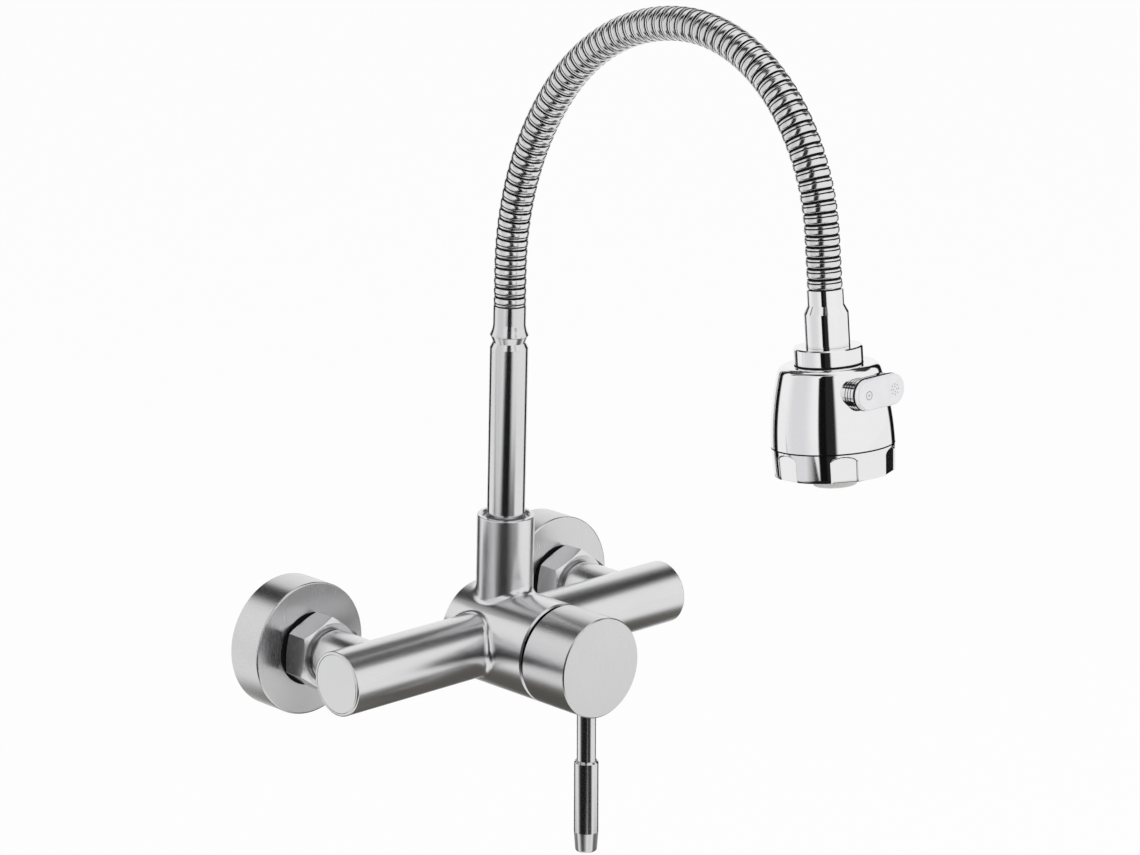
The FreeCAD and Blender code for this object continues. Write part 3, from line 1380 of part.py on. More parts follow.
def valve_block():
    """Core of the head: swivel socket, spool bore, and a way to each outlet."""
    neck = SHELL_BORE - d.seat_gap
    under = SHELL_ROOF + d.seat_gap
    core = lathe("valve_block", [
        (0, BLOCK_TOP), (neck, BLOCK_TOP), (neck, under), (BLOCK_RADIUS, under),
        (BLOCK_RADIUS, BLOCK_END), (OUTLET_RADIUS, BLOCK_END), (OUTLET_RADIUS, OUTLET_END),
        (0, OUTLET_END)])
    socket_floor = SPIGOT_END + d.spigot_clearance
    drill(core, "swivel_socket", (0, 0, BLOCK_TOP - d.overrun), SWIVEL_SPIGOT + d.running_gap,
          socket_floor - BLOCK_TOP + d.overrun)
    drill(core, "supply_bore", (0, 0, socket_floor - d.overrun), d.inner_hose_bore,
          PLATE_CENTRE - socket_floor + d.overrun)
    drill(core, "supply_cross", (0, 0, PLATE_CENTRE), d.port_radius, SPOOL_STANDOFF, ALONG_Y)
    drill(core, "spool_bore", (-BLOCK_RADIUS - d.overrun, SPOOL_STANDOFF, PLATE_CENTRE),
          d.spool_radius + d.running_gap, 2 * (BLOCK_RADIUS + d.overrun), ALONG_X)
    block(core, "tail_opening", "SubtractiveBox",
          (-ROCKER_OPENING / 2, SPOOL_STANDOFF, PLATE_CENTRE - ROCKER_TALL / 2),
          (ROCKER_OPENING, BLOCK_RADIUS, ROCKER_TALL))
    drill(core, "outlet_chamber", (0, 0, CHAMBER_TOP), AERATOR_BORE,
          OUTLET_END - CHAMBER_TOP + d.overrun)
    thread = AERATOR_START - d.seat_gap
    drill(core, "aerator_thread", (0, 0, thread), d.aerator_radius + d.seat_gap,
          OUTLET_END - thread + d.overrun)
    drill(core, "aerator_way",
          (-d.aerator_way_side, SPOOL_STANDOFF - d.aerator_way_drop, PLATE_CENTRE), d.way_radius,
          CHAMBER_TOP - PLATE_CENTRE + d.overrun)
    drill(core, "spray_way", (d.spray_way_side, SPOOL_STANDOFF, PLATE_CENTRE), d.way_radius,
          BLOCK_END - PLATE_CENTRE + d.overrun)
    in_frame(core, HEAD)


def spray_ring():
    """Grip ring on the shell's end, with arched flats round it and a circle of jet holes."""
    ring = lathe("spray_ring", [
        (RING_BORE, RING_TOP), (SHELL_INNER - d.seat_gap, RING_TOP),
        (SHELL_INNER - d.seat_gap, RING_START), (SHELL_RADIUS, RING_START),
        (RING_RADIUS, RING_END - d.ring_edge), (RING_RADIUS - d.ring_edge, RING_END),
        (RING_HOLE, RING_END), (RING_HOLE, RING_FLOOR), (RING_BORE, RING_FLOOR)])
    across = d.ring_flat_sweep.value
    tilt = d.ring_flat_tilt.value
    centre = RING_START.value + d.ring_flat_top.value + across
    drop = (RING_END.value - centre) * math.sin(math.radians(tilt))
    flat = Vector(0, RING_RADIUS.value - d.ring_flat_depth.value + drop, centre)
    turned = FreeCAD.Rotation(Vector(0, 0, 1), d.ring_flat_turn.value - 90)
    tilted = FreeCAD.Rotation(Vector(1, 0, 0), -90 - tilt)
    cutter = primitive(ring, "SubtractiveCylinder", "grip_flat", (0, 0, 0),
                       Radius=d.ring_flat_sweep, Height=d.ring_wall)
    cutter.Placement = FreeCAD.Placement(turned.multVec(flat), turned.multiply(tilted))
    around(ring, "grip_flats", [cutter], d.ring_flats)
    jet = drill(ring, "jet_hole", (NOZZLE_CIRCLE, 0, RING_FLOOR - d.overrun),
                d.nozzle_radius + d.running_gap, d.ring_floor + 2 * d.overrun)
    around(ring, "jet_holes", [jet], d.nozzle_count)
    in_frame(ring, HEAD)


def nozzle_plate():
    """Soft plate behind the ring's floor, with a nozzle through each jet hole."""
    plate = tube("nozzle_plate", RING_HOLE, NOZZLE_RIM, NOZZLE_TOP, RING_FLOOR - d.seat_gap)
    nozzle = rod(plate, "nozzle", (NOZZLE_CIRCLE, 0, RING_FLOOR - d.overrun), d.nozzle_radius,
                 d.overrun + d.ring_floor + d.nozzle_height)
    around(plate, "nozzles", [nozzle], d.nozzle_count)
    in_frame(plate, HEAD)
    seal = tube("face_seal", d.aerator_radius + d.running_gap, OUTLET_RADIUS - d.seat_gap,
                OUTLET_END + d.seat_gap, FACE_SEAL_END)
    in_frame(seal, HEAD)


def aerator():
    """Threaded outlet in the middle, with a slotted disc set back in its mouth."""
    lip = AERATOR_BORE - d.aerator_lip
    body = lathe("aerator_body", [
        (lip, AERATOR_START), (d.aerator_radius, AERATOR_START),
        (d.aerator_radius, AERATOR_END - d.aerator_edge),
        (d.aerator_radius - d.aerator_edge, AERATOR_END), (AERATOR_BORE, AERATOR_END),
        (AERATOR_BORE, MESH_BACK), (lip, MESH_BACK)])
    in_frame(body, HEAD)
    mesh = tube("aerator_mesh", 0, AERATOR_BORE - d.seat_gap, MESH_BACK, MESH_FACE)
    reach = (d.mesh_slots - 1) / 2 * d.mesh_pitch
    for row in range(int(round(d.mesh_slots.value))):
        offset = row * d.mesh_pitch - reach
        edge = abs(offset.value) + d.mesh_slot.value / 2
        span = math.sqrt((AERATOR_BORE.value - d.mesh_margin.value) ** 2 - edge**2)
        block(mesh, f"mesh_slot_{row}", "SubtractiveBox",
              (-span, offset - d.mesh_slot / 2, MESH_BACK - d.overrun),
              (2 * span, d.mesh_slot, d.mesh_thickness + 2 * d.overrun))
    in_frame(mesh, HEAD)


for side, way in SIDES:
    for make in (inlet_union, escutcheon, union_nut, inlet_tail):
        make(side, way * d.inlet_spacing / 2)
    end_plug(side, way)
for make in (
    mixer_body, cartridge_base, discs, cartridge_shell, stem_set, handle_cap, lever, riser_tube,
    riser_bearing, riser_ferrule, gooseneck_hose, inner_hose, head_top, head_shell,
    diverter_rocker, diverter_spool, valve_block, spray_ring, nozzle_plate, aerator,
):
    make()

doc.recompute()

for item in doc.Objects:
    if "Invalid" in item.State or "Error" in item.State:
        raise RuntimeError(f"{item.Label} did not build: {item.State}")
for part in parts:
    if part.Shape.isNull() or not part.Shape.isValid():
        raise RuntimeError(f"{part.Label} has no valid shape")

os.makedirs("parts", exist_ok=True)
for part in parts:
    part.Shape.exportStep(f"parts/{part.Label}.step")
print("wrote", len(parts), "sub-parts")
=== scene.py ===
import math

import bmesh
import bpy
import numpy as np
from mathutils import Matrix, Vector


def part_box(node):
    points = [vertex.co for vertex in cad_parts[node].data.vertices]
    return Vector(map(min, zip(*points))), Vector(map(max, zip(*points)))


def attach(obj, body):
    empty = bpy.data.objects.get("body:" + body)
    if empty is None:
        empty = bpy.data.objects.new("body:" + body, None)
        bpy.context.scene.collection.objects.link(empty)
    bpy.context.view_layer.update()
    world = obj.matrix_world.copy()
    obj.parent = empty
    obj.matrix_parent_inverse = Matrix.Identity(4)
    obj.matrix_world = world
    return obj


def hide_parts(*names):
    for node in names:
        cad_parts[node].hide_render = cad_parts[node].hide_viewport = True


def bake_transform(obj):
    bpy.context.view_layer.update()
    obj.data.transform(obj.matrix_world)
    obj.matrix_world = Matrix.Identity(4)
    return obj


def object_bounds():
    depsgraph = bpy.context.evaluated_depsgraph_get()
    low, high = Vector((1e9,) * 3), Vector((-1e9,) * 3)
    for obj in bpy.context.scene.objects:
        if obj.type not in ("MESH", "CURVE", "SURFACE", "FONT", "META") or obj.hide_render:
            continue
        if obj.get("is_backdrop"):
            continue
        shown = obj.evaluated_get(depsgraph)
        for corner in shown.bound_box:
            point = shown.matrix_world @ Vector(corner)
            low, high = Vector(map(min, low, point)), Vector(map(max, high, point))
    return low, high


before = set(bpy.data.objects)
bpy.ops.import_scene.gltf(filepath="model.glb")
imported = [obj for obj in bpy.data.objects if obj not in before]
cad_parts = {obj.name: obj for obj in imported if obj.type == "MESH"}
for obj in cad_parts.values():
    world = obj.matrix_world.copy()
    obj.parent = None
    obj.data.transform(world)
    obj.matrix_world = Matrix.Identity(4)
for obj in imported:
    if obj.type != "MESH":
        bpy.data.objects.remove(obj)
cad_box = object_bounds()

# Sizes that the pieces share with the CAD model, in millimetres and degrees.
MM = 0.001
PIPE_SPACING = 150.0
TUBE_HEIGHT = 6.0  # the body tube's axis above the wall pipes
RISER_OUT = 62.5  # the riser's foot in front of the wall
SPOUT_LEAN = 1.7
NECK_START = 152.204  # the gooseneck's foot above the tube's axis, along the riser
NECK_LEAD, NECK_TAIL = 16.0, 22.0  # its straight ends
NECK_BENDS = ((137.0, 39.4), (100.0, 47.0), (73.0, 53.0), (90.0, 33.3))  # radius and turn
NECK_LENGTH = NECK_LEAD + NECK_TAIL + sum(
    radius * math.radians(turn) for radius, turn in NECK_BENDS)


# The gooseneck's middle line, and the frames that pieces are made in.
def local_frame(place, turn):
    """The matrix of a frame at a place in millimetres, turned about X."""
    return Matrix.Translation(Vector(place) * MM) @ Matrix.Rotation(math.radians(turn), 4, "X")


def neck_at(reach):
    """Forward, height and heading in the spout's plane at a distance along the gooseneck."""
    forward, height, heading = 0.0, NECK_START, 0.0
    bends = [(radius, radius * math.radians(turn)) for radius, turn in NECK_BENDS]
    for radius, length in [(None, NECK_LEAD)] + bends + [(None, math.inf)]:
        step = min(reach, length)
        if radius is None:
            forward += step * math.sin(heading)
            height += step * math.cos(heading)
        else:
            after = heading + step / radius
            forward += radius * (math.cos(heading) - math.cos(after))
            height += radius * (math.sin(after) - math.sin(heading))
            heading = after
        reach -= step
        if reach <= 1e-9:
            break
    return forward, height, heading


def spout_point(forward, height):
    """A place in the spout's plane as a point in millimetres."""
    lean = math.radians(SPOUT_LEAN)
    return (0, -RISER_OUT - forward * math.cos(lean) - height * math.sin(lean),
            TUBE_HEIGHT + height * math.cos(lean) - forward * math.sin(lean))


def neck_frame(reach):
    """The middle line's point, in millimetres, and its direction."""
    forward, height, heading = neck_at(reach)
    turn = heading + math.radians(SPOUT_LEAN)
    return Vector(spout_point(forward, height)), Vector((0, -math.sin(turn), math.cos(turn)))


def head_frame():
    """The head's own frame, from the gooseneck's end along the head."""
    forward, height, heading = neck_at(NECK_LENGTH)
    return local_frame(spout_point(forward, height), SPOUT_LEAN + math.degrees(heading))


HEAD = head_frame()


# Materials.
class Nodes:
    """A short way to write a material's nodes."""

    def __init__(self, name):
        self.material = bpy.data.materials.new(name)
        self.material.use_nodes = True
        self.tree = self.material.node_tree
        self.shader = self.tree.nodes["Principled BSDF"]

    def add(self, kind, links=(), **values):
        node = self.tree.nodes.new(kind)
        for key, value in values.items():
            setattr(node, key, value)
        for socket, value in dict(links).items():
            self.put(node.inputs[socket], value)
        return node

    def put(self, socket, value):
        if isinstance(value, bpy.types.NodeSocket):
            self.tree.links.new(value, socket)
        else:
            socket.default_value = value

    def set(self, **values):
        for key, value in values.items():
            self.put(self.shader.inputs[key.replace("_", " ")], value)

    def math(self, operation, first, second):
        return self.add("ShaderNodeMath", {0: first, 1: second}, operation=operation).outputs[0]

    def place(self):
        """The piece's own coordinates, in metres."""
        return self.add("ShaderNodeTexCoord").outputs["Object"]

    def noise(self, scale, stretch=(1, 1, 1), detail=3.0, rough=0.55):
        """Fine noise in the piece's own axes; a stretch above 1 makes it finer that way."""
        mapping = self.add("ShaderNodeMapping", {"Vector": self.place(), "Scale": stretch})
        return self.add("ShaderNodeTexNoise", {
            "Vector": mapping.outputs[0], "Scale": scale, "Detail": detail, "Roughness": rough,
        }).outputs["Fac"]

    def spread(self, value, low, high):
        """The noise's middle half moved to a range, and held inside it."""
        return self.add("ShaderNodeMapRange", {
            "Value": value, "From Min": 0.25, "From Max": 0.75, "To Min": low, "To Max": high,
        }).outputs[0]

    def tint(self, share, dark, light):
        """A colour between two, each a socket or three numbers."""
        mix = self.add("ShaderNodeMix", data_type="RGBA")
        self.put(mix.inputs[0], share)
        for socket, colour in ((mix.inputs[6], dark), (mix.inputs[7], light)):
            linked = isinstance(colour, bpy.types.NodeSocket)
            self.put(socket, colour if linked else (*colour, 1))
        return mix.outputs[2]

    def bump(self, height, strength, distance):
        return self.add("ShaderNodeBump", {
            "Height": height, "Strength": strength, "Distance": distance}).outputs[0]


def grey(level):
    """A grey that is very slightly cool."""
    return (level, level, level * 1.01)


# The near black of painted shade, for the gap in front of the hub's face.
PAINTED_GAP_SHADE = grey(0.008)
LINE_DEPTH, GRAIN_DEPTH = 1e-5, 4e-5  # metres
CLOUD_SCALE = 24.0


def metal(name, dark, light, low, high, stretch, scale=2600.0, bump=0.04, painted_shade_y=None):
    """Metal with fine lines of brushing or polish, and a slow change of tone and gloss; past the
    place along Y that it is given, it is painted near black as painted shade of the gap in front
    of it."""
    make = Nodes(name)
    lines = make.noise(scale, stretch, 2.0, 0.6)
    cloud = make.noise(CLOUD_SCALE, detail=1.0)
    blend = make.math("MULTIPLY", make.math("ADD", lines, cloud), 0.5)
    tone = make.tint(make.spread(blend, 0, 1), dark, light)
    if painted_shade_y is not None:
        axes = make.add("ShaderNodeSeparateXYZ", {0: make.place()})
        # Painted shade: in front of the given place along Y the metal turns near black.
        tone = make.tint(make.math("LESS_THAN", axes.outputs["Y"], painted_shade_y), tone, PAINTED_GAP_SHADE)
    make.set(Metallic=1.0, Base_Color=tone, Roughness=make.spread(blend, low, high),
             Normal=make.bump(lines, bump, LINE_DEPTH))
    return make.material


def plain(name, dark, light, low, high, scale=160.0, bump=0.1, coat=0.0, shine=0.5):
    """Moulded plastic, rubber or fired ceramic with a fine uneven skin."""
    make = Nodes(name)
    grain = make.noise(scale, detail=4.0)
    make.set(Base_Color=make.tint(make.spread(grain, 0, 1), dark, light),
             Roughness=make.spread(grain, low, high), Coat_Weight=coat,
             Specular_IOR_Level=shine, Normal=make.bump(grain, bump, GRAIN_DEPTH))
    return make.material


# How fine a metal's lines are along X, Y and Z: a low number draws them out that way.
EVEN, ALONG_X, AROUND_Y, AROUND_Z = (1, 1, 1), (0.03, 1, 1), (1, 0.04, 0.04), (0.04, 0.04, 1)
DRAWN_Z = (1, 1, 0.2)
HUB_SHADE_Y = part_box("mixer_body")[0][1] + 0.05 * MM  # just behind the hub's front face; in front of it the satin body is painted shade
# Each has its darkest and lightest tone and its least and most roughness; a metal then has its
# lines, and any of them its scale and bump where they aren't the usual ones.
# The satin body has the hub's front face painted near black as painted shade.
SATIN_BODY = metal("satin_body", grey(0.69), grey(0.77), 0.23, 0.28, ALONG_X,
                   painted_shade_y=HUB_SHADE_Y)
SATIN_Y = metal("satin_wall_axis", grey(0.61), grey(0.69), 0.23, 0.29, AROUND_Y)
SATIN_Z = metal("satin_upright", grey(0.66), grey(0.74), 0.13, 0.17, AROUND_Z)
BRIGHT_NUT = metal("nut_steel", grey(0.68), grey(0.78), 0.19, 0.26, EVEN, 1800.0)
CHROME = metal("chrome", grey(0.80), grey(0.86), 0.04, 0.07, EVEN, 1400.0, 0.02)
RIBBED = metal("ribbed_steel", grey(0.70), grey(0.80), 0.15, 0.20, EVEN, 2000.0)
STEEL = metal("steel", grey(0.46), grey(0.56), 0.22, 0.34, DRAWN_Z, 1400.0)
BRASS = metal("brass", (0.52, 0.36, 0.14), (0.66, 0.48, 0.20), 0.22, 0.36, DRAWN_Z, 900.0)
# Near black painted on grooves, gaps and edge lines of metal parts: painted shade.
SHADE_BLACK = plain("seam", grey(0.005), grey(0.012), 0.5, 0.7, 400.0, shine=0.08)
CERAMIC = plain("ceramic", (0.80, 0.79, 0.75), (0.86, 0.85, 0.82), 0.16, 0.24, 240.0, 0.03)
PLASTIC = plain("white_plastic", (0.72, 0.72, 0.70), (0.78, 0.78, 0.76), 0.34, 0.46)
RUBBER = plain("rubber", (0.018, 0.018, 0.02), (0.032, 0.032, 0.034), 0.55, 0.72, 300.0, 0.2)
PLATE = plain("pale_plate", (0.80, 0.80, 0.82), (0.86, 0.86, 0.87), 0.16, 0.24, 200.0, 0.03, 0.3)
MARK_GREY = plain("mark_grey", grey(0.42), grey(0.50), 0.4, 0.5, 300.0, 0.02)

# The record's slots, and the nodes whose finish differs from their slot's.
SLOTS = {"satin_steel": SATIN_BODY, "chrome": CHROME, "steel": STEEL, "brass": BRASS,
         "ceramic": CERAMIC, "white_plastic": PLASTIC, "rubber": RUBBER, "pale_plate": PLATE}
FINISHES = {
    STEEL: ("inlet_tail_left", "inlet_tail_right", "inlet_union_left", "inlet_union_right"),
    SATIN_Y: ("handle_cap", "escutcheon_left", "escutcheon_right"),
    BRIGHT_NUT: ("union_nut_left", "union_nut_right"),
    SATIN_Z: ("riser_tube", "riser_ferrule", "lever_rod", "lever_grip"),
}
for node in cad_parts.values():
    for slot in node.material_slots:
        slot.material = SLOTS[slot.material.name.split(".")[0]]
for finish, names in FINISHES.items():
    for name in names:
        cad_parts[name].material_slots[0].material = finish


# Mesh building, in millimetres in the piece's own frame.
def make_object(name, verts, faces, place, materials, picks=None, sharp=35):
    """A closed mesh with its faces outwards; picks says which material each face has."""
    mesh = bpy.data.meshes.new(name)
    mesh.from_pydata((np.asarray(verts, float) * MM).tolist(), [], faces)
    for material in materials:
        mesh.materials.append(material)
    if picks is not None:
        mesh.polygons.foreach_set("material_index", picks)
    shape = bmesh.new()
    shape.from_mesh(mesh)
    bmesh.ops.remove_doubles(shape, verts=shape.verts, dist=1e-7)
    bmesh.ops.recalc_face_normals(shape, faces=shape.faces)
    shape.to_mesh(mesh)
    shape.free()
    mesh.shade_smooth()
    mesh.set_sharp_from_angle(angle=math.radians(sharp))
    obj = bpy.data.objects.new(name, mesh)
    bpy.context.scene.collection.objects.link(obj)
    obj.matrix_world = place
    return obj


def circle(count, radius=1.0):
    turns = [2 * math.pi * step / count for step in range(count)]
    return [(radius * math.cos(turn), radius * math.sin(turn)) for turn in turns]


def bands(rows, count, first=0):
    """Quads between neighbouring loops of points, with the last loop joined to the first."""
    faces = []
    for row in range(rows):
        low, high = first + row * count, first + (row + 1) % rows * count
        for step in range(count):
            after = (step + 1) % count
            faces.append((low + step, low + after, high + after, high + step))
    return faces


def sweep(profile, segments):
    """Loops of (reach, radius) swept along the gooseneck's middle line."""
    verts, side = [], Vector((1, 0, 0))
    for reach, radius in profile:
        place, forward = neck_frame(reach)
        up = forward.cross(side)
        verts += [tuple(place + side * x + up * y) for x, y in circle(segments, radius)]
    return verts, bands(len(profile), segments)


# The gooseneck and the hose inside it.
RIB_COUNT = 76
VALLEY, HOSE_BORE = 6.30, 5.2
TUBE_OUTER, TUBE_BORE = 5.0, 3.8
# Share of the pitch, radius and 1 for a face painted near black from there on, as painted shade:
# a low rib, a thin line, a high rib with a rounded back, and the deep groove before the next turn.
RIB_SHAPE = ((0.095, VALLEY, 1), (0.10, 6.90, 0), (0.12, 7.05, 0), (0.15, 7.12, 0),
             (0.27, 7.12, 0), (0.30, 7.00, 1), (0.31, 6.75, 1), (0.375, 6.75, 1),
             (0.385, 7.05, 0), (0.41, 7.2, 0), (0.45, 7.25, 0), (0.62, 7.23, 0),
             (0.76, 7.15, 0), (0.86, 7.0, 0), (0.90, 6.8, 1), (0.91, VALLEY, 1))


def neck_steps(count):
    return [NECK_LENGTH * step / count for step in range(count + 1)]


def gooseneck(segments=56, inner_steps=120):
    pitch = NECK_LENGTH / RIB_COUNT
    outline = [(0.0, VALLEY, 1)]
    for rib in range(RIB_COUNT):
        outline += [((rib + share) * pitch, radius, dark) for share, radius, dark in RIB_SHAPE]
    outline.append((NECK_LENGTH, VALLEY, 1))
    outline += [(reach, HOSE_BORE, 1) for reach in reversed(neck_steps(inner_steps))]
    verts, faces = sweep([(reach, radius) for reach, radius, _ in outline], segments)
    # Groove floors, their slopes, each rib's thin line and the bore take the near black: painted
    # shade.
    picks = [dark for _, _, dark in outline for _ in range(segments)]
    obj = make_object("gooseneck_ribs", verts, faces, Matrix.Identity(4), (RIBBED, SHADE_BLACK), picks,
                      sharp=40)
    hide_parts("gooseneck_hose")
    return obj


def inner_tube(segments=32, steps=90):
    outline = [(reach, TUBE_OUTER) for reach in neck_steps(steps)]
    outline += [(reach, TUBE_BORE) for reach in reversed(neck_steps(steps))]
    verts, faces = sweep(outline, segments)
    obj = make_object("inner_hose_tube", verts, faces, Matrix.Identity(4), (RUBBER,), sharp=40)
    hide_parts("inner_hose")
    return obj


BEND_FROM, BEND_TO = (neck_frame(reach)[0] * MM for reach in (0, NECK_LENGTH))
for hose in (gooseneck(), inner_tube()):
    tuple(BEND_FROM)
    tuple(BEND_TO)
    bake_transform(hose)


# The grip ring of the head: an arched flat at every sixth of a turn, a gap to the shell above it
# painted near black as painted shade, a painted shade line along each arch, and a floor with jet
# holes. Heights run along the head from the gooseneck's end.
RING_TOP, RING_START, SEAM_END, RING_FLOOR, RING_END = 57.75, 62.75, 63.25, 72.5, 74.7
RING_WIDE, RING_NARROW, RING_BORE, RING_HOLE = 25.1, 24.5, 20.85, 9.2
FLOOR_EDGE = RING_BORE + 0.02  # the floor is let into the ring
UPSTAND_RADIUS, SEAM_RADIUS = 23.1, 24.5
FLAT_COUNT, FLAT_TURN, FLAT_HALF, FLAT_DEEP, FLAT_EDGE = 6, 126.7, 12.8, 0.42, 0.3
LINE_SHARE, LINE_HEIGHT = 0.93, 0.4  # the painted shade line along each arch: its share of the width, its height
ARCH_TOP, ARCH_RISE = 64.0, 2.4
RIM_HEIGHT, RIM_FIRST, RIM_LAST = 0.12, 0.1, 0.4  # the outer edge's rounding
WALL_FINE, WALL_COARSE = (63.3, 0.2, 20), (67.4, 0.97, 8)  # start, step and count of its rows
JET_COUNT, JET_CIRCLE, JET_RADIUS, JET_STEPS = 16, 14.975, 1.15, 6


def even_steps(start, step, count):
    return [start + step * number for number in range(count)]


def arch_height(turn):
    share = min(1.0, abs(turn) / FLAT_HALF)
    return ARCH_TOP + ARCH_RISE * (1 - math.sqrt(1 - share * share))


def ring_wall(turn, height):
    """Outer radius of the grip ring at a turn from its own flat's middle."""
    full = RING_WIDE + (RING_NARROW - RING_WIDE) * (height - RING_START) / (RING_END - RING_START)
    inside = min((FLAT_HALF - abs(turn)) * math.radians(full), height - arch_height(turn))
    step = min(1.0, max(0.0, inside / FLAT_EDGE))
    flat = full * math.cos(math.radians(FLAT_HALF)) / math.cos(math.radians(turn)) - FLAT_DEEP
    return full + (min(full, flat) - full) * step


def ring_turns(near=13.0, wide_steps=8, close_steps=65):
    """Turns from a flat's middle over its part of the ring, close together near the flat."""
    half = 180 / FLAT_COUNT
    wide, close = (half - near) / wide_steps, 2 * near / close_steps
    return (even_steps(-half, wide, wide_steps) + even_steps(-near, close, close_steps + 1)
            + even_steps(near + wide, wide, wide_steps - 1))


def ring_outline():
    """The ring's section as rows of height, radius or None for the outer wall, cut below that
    wall, and 1 for a band painted near black, as painted shade, up to the next row."""
    rows = [(RING_FLOOR, RING_BORE, 0, 0), (RING_TOP, RING_BORE, 0, 0),
            (RING_TOP, UPSTAND_RADIUS, 0, 0), (RING_START, UPSTAND_RADIUS, 0, 1),
            (RING_START, SEAM_RADIUS, 0, 1), (SEAM_END, SEAM_RADIUS, 0, 1)]
    rows += [(height, None, 0, 0)
             for height in even_steps(*WALL_FINE) + even_steps(*WALL_COARSE)]
    return rows + [(RING_END - RIM_HEIGHT, None, RIM_FIRST, 0), (RING_END, None, RIM_LAST, 0),
                   (RING_END, RING_BORE, 0, 0)]


def ring_shell():
    """Points, faces and material picks of the ring without its floor."""
    turns = [(FLAT_TURN + 360 / FLAT_COUNT * flat + turn, turn)
             for flat in range(FLAT_COUNT) for turn in ring_turns()]
    rows, verts, picks = ring_outline(), [], []
    for height, radius, cut, dark in rows:
        for full, turn in turns:
            out = ring_wall(turn, height) - cut if radius is None else radius
            angle = math.radians(full)
            verts.append((out * math.cos(angle), out * math.sin(angle), height))
            # A band just under each arch's edge takes the near black too: a painted shade line.
            arched = radius is None and abs(turn) < LINE_SHARE * FLAT_HALF
            lined = arched and 0 <= height - arch_height(turn) < LINE_HEIGHT
            picks.append(1 if lined else dark)
    return verts, bands(len(rows), len(turns)), picks


def jet_sector(centre, height):
    """Points of one sector of the ring's floor: the loop round it, then the loop of its jet."""
    half = math.pi / JET_COUNT
    corners = [(RING_HOLE, -half), (FLOOR_EDGE, -half), (FLOOR_EDGE, half), (RING_HOLE, half)]
    rim = []
    for (start, start_turn), (end, end_turn) in zip(corners, corners[1:] + corners[:1]):
        for step in range(JET_STEPS):
            share = step / JET_STEPS
            radius = start + (end - start) * share
            turn = centre + start_turn + (end_turn - start_turn) * share
            rim.append((radius * math.cos(turn), radius * math.sin(turn), height))
    middle = (JET_CIRCLE * math.cos(centre), JET_CIRCLE * math.sin(centre))
    hole = []
    for x, y, _ in rim:
        out = JET_RADIUS / math.hypot(x - middle[0], y - middle[1])
        hole.append((middle[0] + (x - middle[0]) * out, middle[1] + (y - middle[1]) * out, height))
    return rim + hole


def ring_floor(first):
    """Points and faces of the ring's floor, numbered from first."""
    verts, faces, loop = [], [], 4 * JET_STEPS
    for jet in range(JET_COUNT):
        centre = 2 * math.pi * jet / JET_COUNT
        low = first + len(verts)
        high = low + 2 * loop
        verts += jet_sector(centre, RING_END) + jet_sector(centre, RING_FLOOR)
        for step in range(loop):
            after = (step + 1) % loop
            faces += [(side + step, side + after, side + loop + after, side + loop + step)
                      for side in (low, high)]
            faces.append((low + loop + step, low + loop + after,
                          high + loop + after, high + loop + step))
            if step // JET_STEPS in (1, 3):  # the outer and the inner edge
                faces.append((low + after, low + step, high + step, high + after))
    return verts, faces


def spray_ring():
    verts, faces, picks = ring_shell()
    floor_verts, floor_faces = ring_floor(len(verts))
    obj = make_object("spray_ring_shaped", verts + floor_verts, faces + floor_faces, HEAD,
                      (CHROME, SHADE_BLACK), picks + [0] * len(floor_faces), sharp=24)
    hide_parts("spray_ring")
    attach(obj, "head")


spray_ring()


# Near-black rings where turned pieces meet, painted shade for the gaps there: inner and outer
# radius, and both heights.
NUT_MOUTH_SHADE = (11.42, 13.05, 30.9, 31.3)
WALL_SHADE = (13.4, 16.4, 18.01, 18.25)
COLLAR_SHADE = (13.3, 13.95, 29.74, 30.14)


def painted_shade_ring(name, sizes, place, body, segments=96):
    """A flat near-black ring about its frame's Z, as painted shade."""
    inner, outer, low, high = sizes
    outline = [(inner, high), (outer, high), (outer, low), (inner, low)]
    verts = [(x, y, z) for radius, z in outline for x, y in circle(segments, radius)]
    obj = make_object(name, verts, bands(len(outline), segments), place, (SHADE_BLACK,))
    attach(obj, body)


for side, x in (("left", -PIPE_SPACING / 2), ("right", PIPE_SPACING / 2)):
    wall_side = local_frame((x, 0, TUBE_HEIGHT), 90)
    painted_shade_ring(f"nut_mouth_{side}", NUT_MOUTH_SHADE, wall_side, "wall_body")
    painted_shade_ring(f"wall_shade_{side}", WALL_SHADE, wall_side, "wall_body")
painted_shade_ring("collar_shade", COLLAR_SHADE, HEAD, "head")


# The diverter's marks, a ring and a spray of dots, and near-black lines of painted shade round its
# boss.
PLATE_CENTRE, PLATE_FRONT = 39.6, 28.4  # along the head, and out from its axis
MARK_SUNK, MARK_PROUD, MARK_STEPS, MARK_PLACE = 0.1, 0.05, 28, 7.5
BOSS_HALF, BOSS_STRAIGHT, BOSS_STEPS = 5.95, 7.25, 24
BOSS_LINE_COUNT, BOSS_LINE, BOSS_LINE_STEP, PLATE_BACK = 3, 20.4, 1.4, 25.5  # out from the axis
LINE_INSIDE = 0.97  # a line's inner loop as a share of its outer one


def mark(name, across, rings):
    """Thin raised rings or dots on the plate, each with a centre, an inner and an outer radius."""
    verts, faces = [], []
    back, front = PLATE_FRONT - MARK_SUNK, PLATE_FRONT + MARK_PROUD
    for right, up, inner, outer in rings:
        faces += bands(4, MARK_STEPS, len(verts))
        for radius, out in ((inner, back), (inner, front), (outer, front), (outer, back)):
            verts += [(across + right + x, out, PLATE_CENTRE + up + z)
                      for x, z in circle(MARK_STEPS, radius)]
    obj = make_object(name, verts, faces, HEAD, (MARK_GREY,))
    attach(obj, "rocker")


